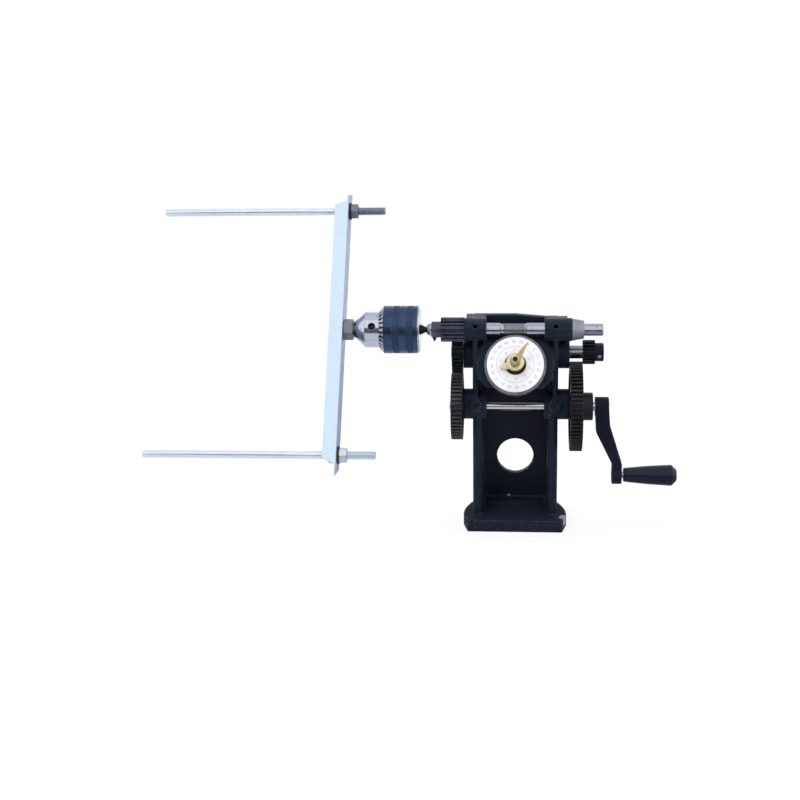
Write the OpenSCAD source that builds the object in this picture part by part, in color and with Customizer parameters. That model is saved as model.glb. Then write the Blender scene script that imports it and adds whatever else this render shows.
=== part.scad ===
// Hand-cranked tassel winder: a geared cast stand whose spindle drives a keyed chuck and a winding frame.
// X runs along the spindle, Y points to the back, Z is up. The origin is under the middle of the stand.

/* [Stand] */
// Height of the spindle axis above the table
spindle_h = 183; // [178:0.5:195]
// Width across the outer faces of the side plates
stand_w = 77; // [74:0.5:82]
// Thickness of each side plate
plate_t = 8.7; // [7:0.1:10]
// How far the side plates reach in front of the spindle axis
plate_front = 18.3; // [16:0.1:22]
// Distance from the spindle axis back to the rear wall
wall_back = 30; // [28:0.5:36]
// Thickness of the rear wall
wall_t = 7; // [5:0.5:9]
// Radius of the round hole in the rear wall
wall_hole_r = 17.3; // [12:0.1:20]
// Height of that hole above the table
wall_hole_h = 52.5; // [45:0.5:60]
// Thickness of the base
base_t = 10.9; // [8:0.1:14]
// Half width of the base at its widest
base_half_w = 47.5; // [45:0.1:53]
// Half width of the base at its front edge
base_front_half = 43.2; // [40:0.1:44.5]
// Distance from the spindle axis forward to the widest place of the base
base_wide = 16; // [12:0.5:22]
// Distance from the spindle axis back to where the base is as narrow as the plates
base_neck = 18; // [10:0.5:24]
// How far the base reaches in front of the spindle axis
base_front = 34.3; // [30:0.1:40]
// How far the base reaches behind the rear wall
base_rear = 8; // [4:0.5:14]
// Size of the fillets where walls meet the base
foot_fillet = 1.5; // [1:0.5:5]
// Height of the stand's top above the spindle axis
stand_above = 7; // [5:0.1:8]
// How much lower the top is at the right end
top_fall = 2.3; // [0.5:0.1:3]
// Width of the upper plates in front of the panel
rib_t = 4.4; // [3:0.1:6]
// Swell of the rounded bead along the front edges of the plates
edge_bead = 0.3; // [0.1:0.1:0.8]
// Thickness of the panel behind the counter
panel_t = 4.3; // [3:0.1:5]
// Cut on the panel's corners
panel_corner = 9; // [5:0.5:12]
// How far the panel reaches below the counter wheel's axis
panel_drop = 18; // [14:0.5:20]

/* [Bearings] */
// Diameter of the spindle
spindle_d = 12; // [11:0.1:13]
// Diameter of the lay shaft
lay_d = 12; // [10:0.1:13]
// Diameter of the crank shaft
crank_d = 8; // [7:0.1:10]
// Wall of every bush
bush_wall = 2; // [1.5:0.1:2.5]
// Iron round the spindle bushes
spindle_boss_wall = 2.5; // [2:0.1:4]
// Iron round the lay bushes
lay_boss_wall = 4; // [2:0.1:4.5]
// Iron round the crank bushes
crank_boss_wall = 6; // [4:0.1:7]
// Reach of the bosses inside the side plates
boss_in = 3.5; // [1:0.1:5]
// Reach of the left spindle boss outside its plate
spindle_boss_left = 7.2; // [5:0.1:8]
// Reach of the right spindle boss outside its plate
spindle_boss_right = 12.2; // [8:0.1:14]
// Reach of the left gear bosses outside their plate
gear_boss_left = 9.2; // [8:0.1:10.5]
// Reach of the right gear bosses outside their plate
gear_boss_right = 10.8; // [8:0.1:12]
// Rise of the iron over the crank bosses outside the plates
crank_boss_rise = 4.7; // [1:0.1:6]
// Drop of the iron under the lay bosses outside the plates
lay_boss_drop = 3.6; // [1:0.1:5]
// Radius of the oil holes over the spindle bushes
oil_hole_r = 2.2; // [1:0.1:2.5]
// Lift of the oil holes above the level
oil_hole_lift = 28; // [0:1:60]
// Radius of the screws that lock the crank bushes
lock_screw_r = 2.4; // [1.5:0.1:3]
// Lift of those screws above the level
lock_screw_lift = 17; // [0:1:30]

/* [Gears] */
// Module of all spur gears
gear_m = 1.25; // [1.2:0.01:1.3]
// Teeth of the left gear on the crank shaft
drive_teeth = 48; // [44:1:52]
// Teeth of the left gear on the lay shaft
lay_teeth = 32; // [30:1:34]
// Teeth of the right pinion on the lay shaft
lay_pinion_teeth = 16; // [14:1:18]
// Teeth of the pinion on the spindle
spindle_teeth = 16; // [14:1:18]
// Offset of the lay shaft behind the spindle
lay_back = 16.5; // [15.5:0.1:18]
// Face width of the left crank gear
drive_face = 10.3; // [8:0.1:12]
// Face width of the left lay gear
lay_face = 9.7; // [8:0.1:10.2]
// Face width of the right crank gear
fast_face = 11; // [8:0.1:13]
// Length of the right crank gear's hub
fast_hub = 10; // [7:0.1:12]
// Radius of the right crank gear's hub
fast_hub_r = 12.8; // [10:0.1:15]
// Face width of the right lay pinion
lay_pinion_face = 11.1; // [8:0.1:12]
// Length of the right lay pinion's hub
lay_hub = 7.9; // [6:0.1:10]
// Radius of the right lay pinion's hub
lay_hub_r = 8.4; // [7.8:0.1:9]
// Face width of the spindle pinion
spindle_face = 21.5; // [21:0.1:25]
// Length of the spindle pinion's hub
spindle_hub = 8.6; // [6:0.1:11]
// Radius of the spindle pinion's hub
spindle_hub_r = 7.3; // [7:0.1:8]
// Depth of the recess turned in the sides of the crank gears
gear_recess = 1.6; // [0.5:0.1:3]
// Width of the rim left outside that recess
gear_rim = 5; // [4:0.1:6]
// Gap that keeps the lay pinion out of the right crank gear
shift_gap = 0.7; // [0.5:0.1:2]
// Thickness of the fork that slides with the lay shaft
fork_t = 4; // [3:0.1:5]
// Depth of the groove that the fork runs in
fork_groove = 1.2; // [0.8:0.1:1.6]

/* [Counter] */
// Backward tilt of the counter about the spindle
dial_tilt = 29; // [20:0.5:34]
// Depth of the worm cut into the spindle
worm_depth = 0.8; // [0.6:0.05:1.2]
// Length of the worm
worm_len = 22.5; // [18:0.5:28]
// Gap between the counter wheels and the side plates
wheel_side_gap = 1.8; // [0.5:0.1:3]
// Thickness of each counter wheel
wheel_t = 2.8; // [2:0.1:3]
// Teeth of the dial wheel
dial_teeth = 100; // [90:1:110]
// Teeth of the turns wheel
turns_teeth = 104; // [90:1:110]
// Width of the bare rim round the dial face
rim_w = 2.4; // [2:0.1:5]
// Thickness of the dial face
dial_t = 1; // [0.6:0.1:1.2]
// Radius of the dark ring round the hub
dial_ring_r = 9.7; // [9:0.1:11]
// Diameter of the counter post
post_d = 5; // [4:0.1:5.4]
// Wall of the sleeve on the turns wheel
sleeve_wall = 1.5; // [1:0.1:2]
// Radius of the short pointer's hub
short_hub_r = 8; // [7:0.1:8.8]
// Length of the short pointer's hub
short_hub = 8.5; // [6:0.1:10]
// Reach of the short pointer
short_reach = 15.5; // [14:0.1:18]
// Direction of the short pointer, from the right
short_angle = 194; // [0:0.1:360]
// Radius of the long pointer's hub
long_hub_r = 4.7; // [4.2:0.1:6]
// Length of the long pointer's hub
long_hub = 5; // [4:0.1:8]
// Reach of the long pointer
long_reach = 21.3; // [18:0.1:24]
// Direction of the long pointer, from the right
long_angle = 57.6; // [0:0.1:360]
// Length of the nut on the post
post_nut = 4; // [3.5:0.1:6]
// Radius of the nut on the post
post_nut_r = 3.6; // [3.4:0.1:4.2]

/* [Crank] */
// Distance from the crank shaft to the handle
crank_radius = 66; // [60:0.5:72]
// Gap between the right crank gear and the arm
arm_gap = 2; // [1:0.1:4]
// Length of the arm's upper boss
arm_boss = 12.6; // [10:0.1:15]
// Radius of the arm's upper boss
arm_boss_r = 8.9; // [8:0.1:10]
// Length of the arm's lower boss
arm_foot = 9; // [7:0.1:11]
// Radius of the arm's lower boss
arm_foot_r = 8.6; // [7:0.1:9]
// How far the arm steps out to the handle
arm_offset = 16.6; // [12:0.1:20]
// Depth below the shaft at which the arm bends
arm_bend = 20.5; // [18:0.5:24]
// Height above the handle at which the arm straightens
arm_straight = 11.5; // [9:0.5:13]
// Half width of the arm at its thinnest
arm_half_w = 6.2; // [5:0.1:7.5]
// Gap between the arm and the grip
grip_gap = 1.7; // [0.5:0.1:3]
// Length of the grip
grip_len = 48.5; // [40:0.5:60]
// Radius of the grip beside the arm
grip_r_in = 6.5; // [6:0.1:8]
// Largest radius of the grip
grip_r_out = 9.8; // [8.5:0.1:11]
// Length of the chamfer at the grip's end
grip_chamfer = 5; // [3:0.1:8]
// Radius of the handle pin
handle_pin_r = 3; // [2.5:0.1:3.5]

/* [Spindle ends] */
// Length of the collar right of the stand
collar_len = 10.4; // [8:0.1:13]
// Larger radius of the collar
collar_r = 10; // [9:0.1:11]
// Smaller radius of the collar
collar_r_small = 8.2; // [7.6:0.1:9]
// Free length of the spindle right of the collar
spindle_free = 17.3; // [12:0.1:25]
// Diameter of the free end
spindle_free_d = 11; // [10:0.1:11.4]
// Length of the rounded tip left of the pinion hub
spindle_tip = 4.6; // [3:0.1:6]
// Radius of the chuck arbor's neck
arbor_r = 2.6; // [2:0.1:3.4]
// Radius of the arbor where it enters the chuck
arbor_wide = 4.5; // [4:0.1:4.8]
// Length of the arbor between the spindle and the chuck
arbor_neck = 5.7; // [4.5:0.1:8]

/* [Chuck] */
// Length of the chuck without its jaws
chuck_len = 58.8; // [58:0.1:62]
// Radius of the chuck body in front of the sleeve
chuck_r = 16.3; // [16:0.1:17]
// Length of the cone at the chuck's nose
chuck_cone = 9; // [8:0.1:10]
// Radius of the chuck's nose
chuck_nose_r = 8.6; // [8.4:0.1:9.6]
// Radius of the sleeve
sleeve_r = 21.75; // [21.5:0.05:23]
// Length of the sleeve
sleeve_len = 35; // [34:0.1:36]
// Thickness of the chuck's rear flange
chuck_flange = 1.5; // [1:0.1:2.5]
// Number of key teeth on the sleeve
key_teeth = 30; // [24:1:34]
// Depth of the key teeth
key_tooth = 1.5; // [1:0.1:1.8]
// Length of the bevel that carries the key teeth
key_bevel = 3.6; // [3:0.1:4]
// Start of the first knurled band behind the sleeve's front
first_band = 12.6; // [10:0.1:14]
// Start of the second knurled band
second_band = 25; // [23:0.1:26]
// Width of each knurled band
band_w = 6; // [5:0.1:7]
// Depth of the knurled bands
band_depth = 0.35; // [0.2:0.05:0.5]
// Wall of the sleeve
sleeve_wall_t = 2.25; // [2:0.05:2.4]
// Length of the nut that moves the jaws
jaw_nut = 6; // [5:0.1:7]
// Radius of the key holes
key_hole_r = 3.4; // [2.5:0.1:3.6]
// Direction of the first key hole, from the back upwards
key_hole_angle = 157; // [0:1:360]
// Distance from the cone back to the key holes
key_hole_back = 6.7; // [5:0.1:8]
// Radius of each jaw
jaw_r = 2.7; // [2.5:0.1:2.8]
// Slope of the jaws to the spindle
jaw_slope = 13; // [12:0.1:13.5]
// Length of each jaw along the spindle
jaw_len = 33; // [32:0.1:34]
// How far the jaws stand out of the nose
jaw_out = 1.6; // [1:0.1:3]
// Distance from the grip face to the jaw's axis at its tip
jaw_bite = 1.4; // [1.2:0.1:1.6]

/* [Winding frame] */
// Turn of the winding frame about the spindle
frame_turn = 35; // [0:1:90]
// Distance from the spindle to each rod
rod_offset = 120; // [100:1:150]
// Radius of the rods
rod_r = 3.5; // [3:0.1:4]
// Length of the rods left of the bar
rod_left = 175; // [140:1:220]
// Length of the rods right of the bar
rod_right = 34; // [25:1:45]
// Width of the bar's flange that carries the rods
bar_deep = 24; // [22:0.5:30]
// Width of the bar's front flange
bar_wide = 12.6; // [10:0.1:20]
// Thickness of the bar
bar_t = 1.8; // [1.5:0.1:2.3]
// Distance from the front flange's face to the rods
bar_hole = 11; // [10.5:0.1:13]
// Reach of the bar above the upper rod at its front edge
bar_top = 11.7; // [8:0.1:16]
// Reach of the bar below the lower rod at its front edge
bar_bottom = 21.9; // [16:0.1:26]
// Slant of the bar's sawn ends across the deep flange
bar_slant = 12; // [0:0.5:14]
// Shortening of the front flange at the corner
trim_corner = 5; // [2:0.5:8]
// Shortening of the front flange at its free edge
trim_free = 10; // [6:0.5:14]
// Extra shortening of the front flange at the lower end
trim_low = 5.9; // [2:0.1:9]
// Radius of the bolt that the chuck grips
bolt_r = 5; // [4.5:0.1:5]
// Length of the bolt inside the chuck
bolt_grip = 28; // [20:0.5:30]
// Width across the flats of the bolt's head and nut
bolt_flats = 17; // [15:0.1:18]
// Height of the bolt's nut
bolt_nut = 9.2; // [7:0.1:10]
// Height of the bolt's head
bolt_head = 6.4; // [5:0.1:7]
// Width across the flats of the rod nuts
rod_flats = 13; // [12:0.1:14]
// Height of the rod nuts
rod_nut = 6.6; // [5:0.1:7]
// Thickness of the rod washers
washer_t = 1.6; // [1:0.1:2]
// Radius of the rod washers
washer_r = 8; // [7.5:0.1:8.5]
// Gap between the bolt's nut and the jaws
nose_gap = 0.6; // [0.5:0.1:2]

/* [Fits] */
// Radial clearance of running fits
run_gap = 0.04; // [0.02:0.01:0.08]
// Radial clearance of fixed fits
fit_gap = 0.02; // [0.01:0.01:0.03]
// End play between turning and fixed faces
end_play = 0.4; // [0.3:0.05:0.6]
// Clearance between pieces that pass each other
pass_gap = 0.3; // [0.25:0.05:0.5]
// Play between meshing gear teeth
backlash = 0.2; // [0.12:0.01:0.3]
// Radius of the small set screws
screw_r = 1.5; // [1:0.1:1.8]

/* [Hidden] */
$fn = 64;
far = 200;
iron = [0.07, 0.07, 0.08];
steel = [0.72, 0.72, 0.73];
gear_grey = [0.27, 0.26, 0.25];
zinc = [0.80, 0.84, 0.87];
brass = [0.80, 0.66, 0.32];
blue_black = [0.12, 0.15, 0.20];
dial_white = [0.96, 0.96, 0.95];

// Gear centres, seen from the right: the lay shaft lies behind the line from spindle to crank
pressure = 20;
addendum = 0.9 * gear_m;
dedendum = 1.2 * gear_m;
fast_teeth = drive_teeth + lay_teeth - lay_pinion_teeth;
upper_reach = gear_m * (spindle_teeth + lay_teeth) / 2;
lower_reach = gear_m * (drive_teeth + lay_teeth) / 2;
lay_h = spindle_h - sqrt(upper_reach * upper_reach - lay_back * lay_back);
crank_h = lay_h - sqrt(lower_reach * lower_reach - lay_back * lay_back);

// Tooth phases: a crank tooth points at the lay shaft, where the lay gear has a gap
mesh_low = atan2(lay_h - crank_h, lay_back);
mesh_up = atan2(spindle_h - lay_h, -lay_back);
lay_pitch = 360 / lay_teeth;
lay_phase = mesh_low + 180 + lay_pitch / 2;
lay_gap_off = (mesh_up - mesh_low - 180) - lay_pitch * round((mesh_up - mesh_low - 180) / lay_pitch);
spindle_phase = mesh_up + 180 + lay_gap_off * lay_teeth / spindle_teeth;
lay_pinion_phase = mesh_low + 180 + 180 / lay_pinion_teeth;

// Places along the spindle
half_w = stand_w / 2;
inner_w = half_w - plate_t;
drive_x = -half_w - gear_boss_left - end_play - drive_face;
lay_gear_x = drive_x + (drive_face - lay_face) / 2;
fast_x = half_w + gear_boss_right + end_play;
fast_end = fast_x + fast_face + fast_hub;
lay_pinion_x = fast_x + fast_face + shift_gap;
lay_pinion_end = lay_pinion_x + lay_pinion_face + lay_hub;
shift = lay_pinion_x + lay_pinion_face / 2 - fast_x - fast_face / 2;
pinion_x = -half_w - spindle_boss_left - end_play - spindle_face;
pinion_hub_x = pinion_x - spindle_hub;
tip_x = pinion_hub_x - spindle_tip;
collar_x = half_w + spindle_boss_right + end_play;
worm_mid = -2;
spindle_end = collar_x + collar_len + spindle_free;
chuck_back = tip_x - arbor_neck;
chuck_front = chuck_back - chuck_len;
sleeve_back = chuck_back - chuck_flange - pass_gap;
sleeve_front = sleeve_back - sleeve_len;
jaw_tip_x = chuck_front - jaw_out;
bar_x = jaw_tip_x - nose_gap - bolt_nut;
arm_x = fast_end + arm_gap;
foot_x = arm_x + arm_offset;
grip_x = foot_x + arm_foot + grip_gap;
handle_h = crank_h - crank_radius;

// Radii that follow from the fits
spindle_boss_r = spindle_d / 2 + bush_wall + spindle_boss_wall;
lay_boss_r = lay_d / 2 + bush_wall + lay_boss_wall;
crank_boss_r = crank_d / 2 + bush_wall + crank_boss_wall;
lock_pad_r = lock_screw_r + 2.8;
lock_pad_top = crank_boss_r + 2.4;
worm_root_r = spindle_d / 2 - worm_depth;
wheel_r = inner_w - wheel_side_gap;
dial_h = spindle_h - worm_root_r - pass_gap - wheel_r;
sleeve_tube_r = post_d / 2 + run_gap + sleeve_wall;
panel_back = lay_back - lay_d / 2 - 2 * pass_gap;
panel_front = panel_back - panel_t;
wall_rear = wall_back + wall_t;
base_edge = 0.4;
base_corner = 2;
stand_top = spindle_h + stand_above;

// Stack of the counter, from the wheels to the front
wheel_split = 0.15;
dial_y = -wheel_split - wheel_t;
ring_t = 0.8;
short_y = dial_y - dial_t - ring_t - pass_gap;
long_y = short_y - short_hub - pass_gap;
nut_y = long_y - long_hub;
post_y = nut_y - post_nut;

// Chuck radii
sleeve_in_r = sleeve_r - sleeve_wall_t;
sleeve_lip = sleeve_front + key_bevel + 1.2;
land_end = sleeve_lip + 0.2;
jaw_step = 120;
arbor_socket = 18.2;
arbor_seat_r = 5;
arbor_hold = 8.6;
core_r = chuck_r - 1;
flange_r = sleeve_r - 1.35;
screw_point = 3.6;
key_hole_deep = 5.5;
lay_screw_angle = 195;
collar_screw_angle = 250;
hub_screw_angle = 40;
arm_screw_angle = 60;
nut_x = land_end + pass_gap;
jaw_tip_r = bolt_r + jaw_bite;
jaw_skin = jaw_r / cos(jaw_slope);
key_r = 1.2;
fork_x = 6;
groove_r = lay_d / 2 - fork_groove;
grip_end = grip_x + grip_len;
pin_head_r = handle_pin_r + 1.5;
rod_thread_r = rod_r + 0.4;

// Cylinder along X from x0 to x1, at height z and depth y
module x_rod(x0, x1, r, y = 0, z = 0) {
    translate([x0, y, z]) rotate([0, 90, 0]) cylinder(h = x1 - x0, r = r);
}

// Cylinder along Y from y0 to y1
module y_rod(y0, y1, r, x = 0, z = 0) {
    translate([x, y1, z]) rotate([90, 0, 0]) cylinder(h = y1 - y0, r = r);
}

// Turned shape about X from points [x, radius]
module x_turned(points, y = 0, z = 0) {
    translate([0, y, z]) rotate([0, 90, 0]) rotate_extrude() polygon([for (p = points) [p[1], p[0]]]);
}

// Turned shape about Y from points [y, radius]
module y_turned(points, x = 0, z = 0) {
    translate([x, 0, z]) rotate([-90, 0, 0]) rotate_extrude() polygon([for (p = points) [p[1], p[0]]]);
}

// Outline in the YZ plane, given thickness along X
module x_slab(x0, x1, points) {
    translate([x0, 0, 0]) rotate([90, 0, 90]) linear_extrude(x1 - x0) polygon(points);
}

// Outline in the XZ plane, given thickness along Y
module y_slab(y0, y1, points) {
    translate([0, y1, 0]) rotate([90, 0, 0]) linear_extrude(y1 - y0) polygon(points);
}

// Round bar in the YZ plane between two points [y, z], centred at x
module yz_bar(x, a, b, r) {
    d = b - a;
    translate([x, a[0], a[1]]) rotate([-atan2(d[0], d[1]), 0, 0]) cylinder(h = norm(d), r = r);
}

// Radial rod about the axis at height z, pointing to an angle counted from the back upwards
module radial_rod(x, z, angle, r0, r1, r) {
    translate([x, 0, z]) rotate([angle - 90, 0, 0]) translate([0, 0, r0]) cylinder(h = r1 - r0, r = r);
}

// Hexagon along X with a round hole, from x0 to x1
module x_hex(x0, x1, flats, hole) {
    difference() {
        translate([x0, 0, 0]) rotate([0, 90, 0]) cylinder(h = x1 - x0, r = flats / sqrt(3), $fn = 6);
        x_rod(x0 - 1, x1 + 1, hole);
    }
}

// Angle by which an involute leaves its base circle at radius r
function involute(base, r) = let (t = sqrt(max(0, r * r / (base * base) - 1))) t * 180 / PI - atan(t);
function polar(r, a) = [r * cos(a), r * sin(a)];

// Outline of a spur gear whose first tooth points along the first axis
function gear_outline(teeth) = let (
        pitch_r = gear_m * teeth / 2,
        base = pitch_r * cos(pressure),
        tip = pitch_r + addendum,
        root = pitch_r - dedendum,
        low = max(base, root),
        half = 90 / teeth - backlash / (4 * pitch_r) * 180 / PI + involute(base, pitch_r),
        radii = [low, (low + tip) / 2, tip],
        flank = [for (r = radii) [r, half - involute(base, r)]],
        foot = root < base ? [[root, flank[0][1]]] : [],
        side = concat(foot, flank))
    [for (k = [0 : teeth - 1])
        each concat(
            [for (p = side) polar(p[0], 360 * k / teeth - p[1])],
            [for (i = [len(side) - 1 : -1 : 0]) polar(side[i][0], 360 * k / teeth + side[i][1])])];

// Spur gear about X with its first tooth turned to phase
module spur(x, face, teeth, phase) {
    translate([x, 0, 0]) rotate([90, 0, 90]) rotate(phase) linear_extrude(face) polygon(gear_outline(teeth));
}

// Fine-toothed outline of a counter wheel
function wheel_outline(teeth) = let (depth = 2.2 * wheel_r / (teeth + 2), step = 360 / teeth)
    [for (k = [0 : teeth - 1])
        each [polar(wheel_r - depth, step * (k - 0.36)), polar(wheel_r, step * (k - 0.14)),
            polar(wheel_r, step * (k + 0.14)), polar(wheel_r - depth, step * (k + 0.36))]];

// Base: its sides swell from the front edge and draw in on a curve to the plates
module base_plate() {
    rear = wall_rear + base_rear;
    slim = half_w + base_edge;
    swell = base_half_w - slim;
    length = base_wide + base_neck;
    curve = [for (t = [0 : 0.2 : 1]) [base_half_w - swell * t * t, length * t - base_wide]];
    heel = [[slim, rear - base_corner], [slim - base_corner, rear]];
    right = concat([[base_front_half, -base_front]], curve, heel);
    left = [for (i = [len(right) - 1 : -1 : 0]) [-right[i][0], right[i][1]]];
    linear_extrude(base_t) polygon(concat(right, left));
}

// One side plate: full thickness low down, a narrower rib in front of the panel higher up
module side_plate(side) {
    nose = plate_t / 2;
    rib = rib_t / 2;
    x = side * (half_w - nose);
    rib_x = side * (half_w - rib);
    foot = nose - plate_front;
    knee = nose - crank_boss_r + 1;
    rib_knee = rib - crank_boss_r + 0.5;
    rib_top = rib - spindle_boss_r + 4;
    neck = spindle_h - spindle_boss_r / 2;
    top = side > 0 ? stand_top - top_fall : stand_top;
    x_slab(x - nose, x + nose, [[foot, base_t / 2], [knee, crank_h], [panel_front, crank_h],
        [panel_front, top], [wall_rear, top], [wall_rear, base_t / 2]]);
    yz_bar(x, [foot, base_t / 2], [knee, crank_h], nose + edge_bead);
    x_slab(rib_x - rib, rib_x + rib, [[rib_knee, crank_h], [rib_top, neck], [panel_back, neck],
        [panel_back, crank_h]]);
    yz_bar(rib_x, [rib_knee, crank_h], [rib_top, neck], rib + edge_bead);
}

// Rear wall, its top falling to the right
module rear_wall() {
    w = inner_w + 1;
    right_top = stand_top - top_fall - pass_gap;
    y_slab(wall_back, wall_rear, [[-w, base_t / 2], [w, base_t / 2], [w, right_top], [0, stand_top],
        [-w, stand_top]]);
}

// Iron fillets along the foot of the rear wall and of both side plates
module foot_fillets() {
    f = foot_fillet;
    corner = [[-0.5, -0.5], [f, -0.5], [-0.5, f]];
    front = plate_t / 2 - plate_front + 1;
    translate([-inner_w, wall_back, base_t]) rotate([90, 0, 90]) mirror([1, 0, 0])
        linear_extrude(2 * inner_w) polygon(corner);
    for (s = [0, 1])
        mirror([s, 0, 0]) translate([-inner_w, wall_back, base_t]) rotate([90, 0, 0])
            linear_extrude(wall_back - front) polygon(corner);
}

module boss_pair(r, y, z, left, right) {
    x_rod(-half_w - left, -inner_w + boss_in, r, y, z);
    x_rod(inner_w - boss_in, half_w + right, r, y, z);
}

// Iron beside a boss, outside the plates only
module outer_bosses(r, y, z, left, right) {
    x_rod(-half_w - left, 1 - half_w, r, y, z);
    x_rod(half_w - 1, half_w + right, r, y, z);
}

// Iron that ties the spindle bosses back to the rear wall
module boss_backs() {
    low = spindle_h - spindle_boss_r + 3;
    left = half_w + spindle_boss_left - 0.2;
    right = half_w + spindle_boss_right - 3;
    inside = inner_w - boss_in + 1;
    translate([-left, 0, low]) cube([left - inside, wall_rear - 0.5, stand_top - low - 0.3]);
    translate([inside, 0, low])
        cube([right - inside, wall_rear - 0.5, stand_top - top_fall - low - 0.3]);
}

module bush_bores(d, y, z) {
    x_rod(-far, far, d / 2 + bush_wall, y, z);
}

// Raised pads for the lock screws, drawn to a point at the top
module lock_pads() {
    r = lock_pad_r;
    for (s = [-1, 1])
        translate([s * (half_w - rib_t / 2), 0, crank_h]) rotate([90 - lock_screw_lift, 0, 0])
            linear_extrude(lock_pad_top) union() {
                circle(r);
                polygon([[-0.87 * r, 0.45 * r], [0.87 * r, 0.45 * r], [0, 2.1 * r]]);
            }
}

module lock_screw_rods(r, from, to) {
    for (s = [-1, 1])
        radial_rod(s * (half_w - rib_t / 2), crank_h, 180 - lock_screw_lift, from, to, r);
}

// Tilts the counter back about the spindle, so that its wheels stay on the worm
module tilted() {
    translate([0, 0, spindle_h]) rotate([-dial_tilt, 0, 0]) translate([0, 0, -spindle_h]) children();
}

module dial_panel() {
    low = dial_h - panel_drop - 1;
    top = spindle_h - spindle_d / 2 - 2;
    c = panel_corner;
    w = half_w - rib_t + 0.6;
    tilted() y_slab(panel_front, panel_back, [[-w, low + c], [c - w, low], [w - c, low], [w, low + c],
        [w, top - c], [w - c, top], [c - w, top], [-w, top - c]]);
}

module cast_frame() {
    color(iron) difference() {
        union() {
            base_plate();
            for (s = [-1, 1]) side_plate(s);
            rear_wall();
            foot_fillets();
            dial_panel();
            boss_pair(spindle_boss_r, 0, spindle_h, spindle_boss_left, spindle_boss_right);
            boss_backs();
            boss_pair(lay_boss_r, lay_back, lay_h, gear_boss_left, gear_boss_right);
            outer_bosses(lay_boss_r - 0.5, lay_back, lay_h - lay_boss_drop, gear_boss_left - 0.2,
                gear_boss_right - 0.2);
            boss_pair(crank_boss_r, 0, crank_h, gear_boss_left, gear_boss_right);
            outer_bosses(crank_boss_r - 0.5, 0, crank_h + crank_boss_rise, gear_boss_left - 0.2,
                gear_boss_right - 0.2);
            lock_pads();
        }
        bush_bores(spindle_d, 0, spindle_h);
        bush_bores(lay_d, lay_back, lay_h);
        bush_bores(crank_d, 0, crank_h);
        y_rod(wall_back - 1, wall_rear + 1, wall_hole_r, 0, wall_hole_h);
        for (s = [-1, 1])
            radial_rod(s * (half_w - rib_t / 2), spindle_h, 180 - oil_hole_lift, 0, far / 10, oil_hole_r);
        lock_screw_rods(lock_screw_r + fit_gap, 0, far / 8);
        tilted() y_rod(panel_front - 1, panel_back + 1, post_d / 2 + fit_gap, 0, dial_h);
    }
}

// Two plain bushes, one in each boss of a shaft
module bush_pair(d, y, z, left, right) {
    r = d / 2 + bush_wall - fit_gap;
    difference() {
        union() {
            x_rod(-half_w - left + 0.2, -inner_w + boss_in - 0.2, r, y, z);
            x_rod(inner_w - boss_in + 0.2, half_w + right - 0.2, r, y, z);
        }
        x_rod(-far, far, d / 2 + run_gap, y, z);
    }
}

module spindle_bushes() {
    color(brass) difference() {
        bush_pair(spindle_d, 0, spindle_h, spindle_boss_left, spindle_boss_right);
        for (s = [-1, 1])
            radial_rod(s * (half_w - rib_t / 2), spindle_h, 180 - oil_hole_lift, 0, far / 10, oil_hole_r - 0.7);
    }
}

module lay_bushes() {
    color(brass) bush_pair(lay_d, lay_back, lay_h, gear_boss_left, gear_boss_right);
}

module crank_bushes() {
    color(brass) bush_pair(crank_d, 0, crank_h, gear_boss_left, gear_boss_right);
}

module bush_lock_screws() {
    top = lock_pad_top + 0.2;
    color(iron) difference() {
        lock_screw_rods(lock_screw_r, crank_d / 2 + bush_wall + fit_gap, top);
        for (s = [-1, 1])
            translate([s * (half_w - rib_t / 2), 0, crank_h]) rotate([90 - lock_screw_lift, 0, 0])
                translate([-lock_screw_r - 1, -0.35, top - 0.9]) cube([2 * lock_screw_r + 2, 0.7, 2]);
    }
}

module counter_post() {
    r = post_d / 2;
    shoulder = wheel_split + wheel_t + pass_gap;
    color(steel) tilted() difference() {
        y_turned([[panel_back, 0], [panel_back, r], [panel_front, r], [panel_front, r + 2.4],
            [shoulder, r + 2.4], [shoulder, r], [post_y + 0.6, r], [post_y, r - 0.6], [post_y, 0]], 0, dial_h);
        y_rod(post_y - 1, post_y + 2.5, 1.3, 0, dial_h);
    }
}

// Flat pointer blade at an angle from the right, between two depths
module blade(y0, y1, angle, root_w, neck_r, neck_w, reach) {
    translate([0, 0, dial_h]) rotate([0, -angle, 0])
        y_slab(y0, y1, [[0, -root_w / 2], [neck_r, -neck_w / 2], [reach, -0.25], [reach, 0.25],
            [neck_r, neck_w / 2], [0, root_w / 2]]);
}

module long_pointer() {
    r = long_hub_r;
    color(brass) tilted() difference() {
        union() {
            y_turned([[long_y, 0], [long_y, r - 0.4], [long_y - 0.4, r], [long_y - 2.4, r],
                [long_y - 2.8, r - 0.5], [nut_y + 0.5, r - 0.8], [nut_y, r - 1.3], [nut_y, 0]], 0, dial_h);
            blade(long_y - 1.8, long_y - 0.8, long_angle, 5.2, 11, 3.8, long_reach);
        }
        y_rod(nut_y - 1, long_y + 1, post_d / 2 + fit_gap, 0, dial_h);
    }
}

module pointer_nut() {
    r = post_nut_r;
    color(brass) tilted() difference() {
        y_turned([[nut_y, 0], [nut_y, r], [post_y + 1.4, r], [post_y + 0.4, r - 0.5], [post_y + 0.4, 0]],
            0, dial_h);
        y_rod(post_y - 1, nut_y + 1, post_d / 2 + fit_gap, 0, dial_h);
    }
}

module counter_wheel(y0, teeth, bore) {
    difference() {
        translate([0, 0, dial_h]) y_slab(y0, y0 + wheel_t, wheel_outline(teeth));
        y_rod(y0 - 1, y0 + wheel_t + 1, bore, 0, dial_h);
    }
}

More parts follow.
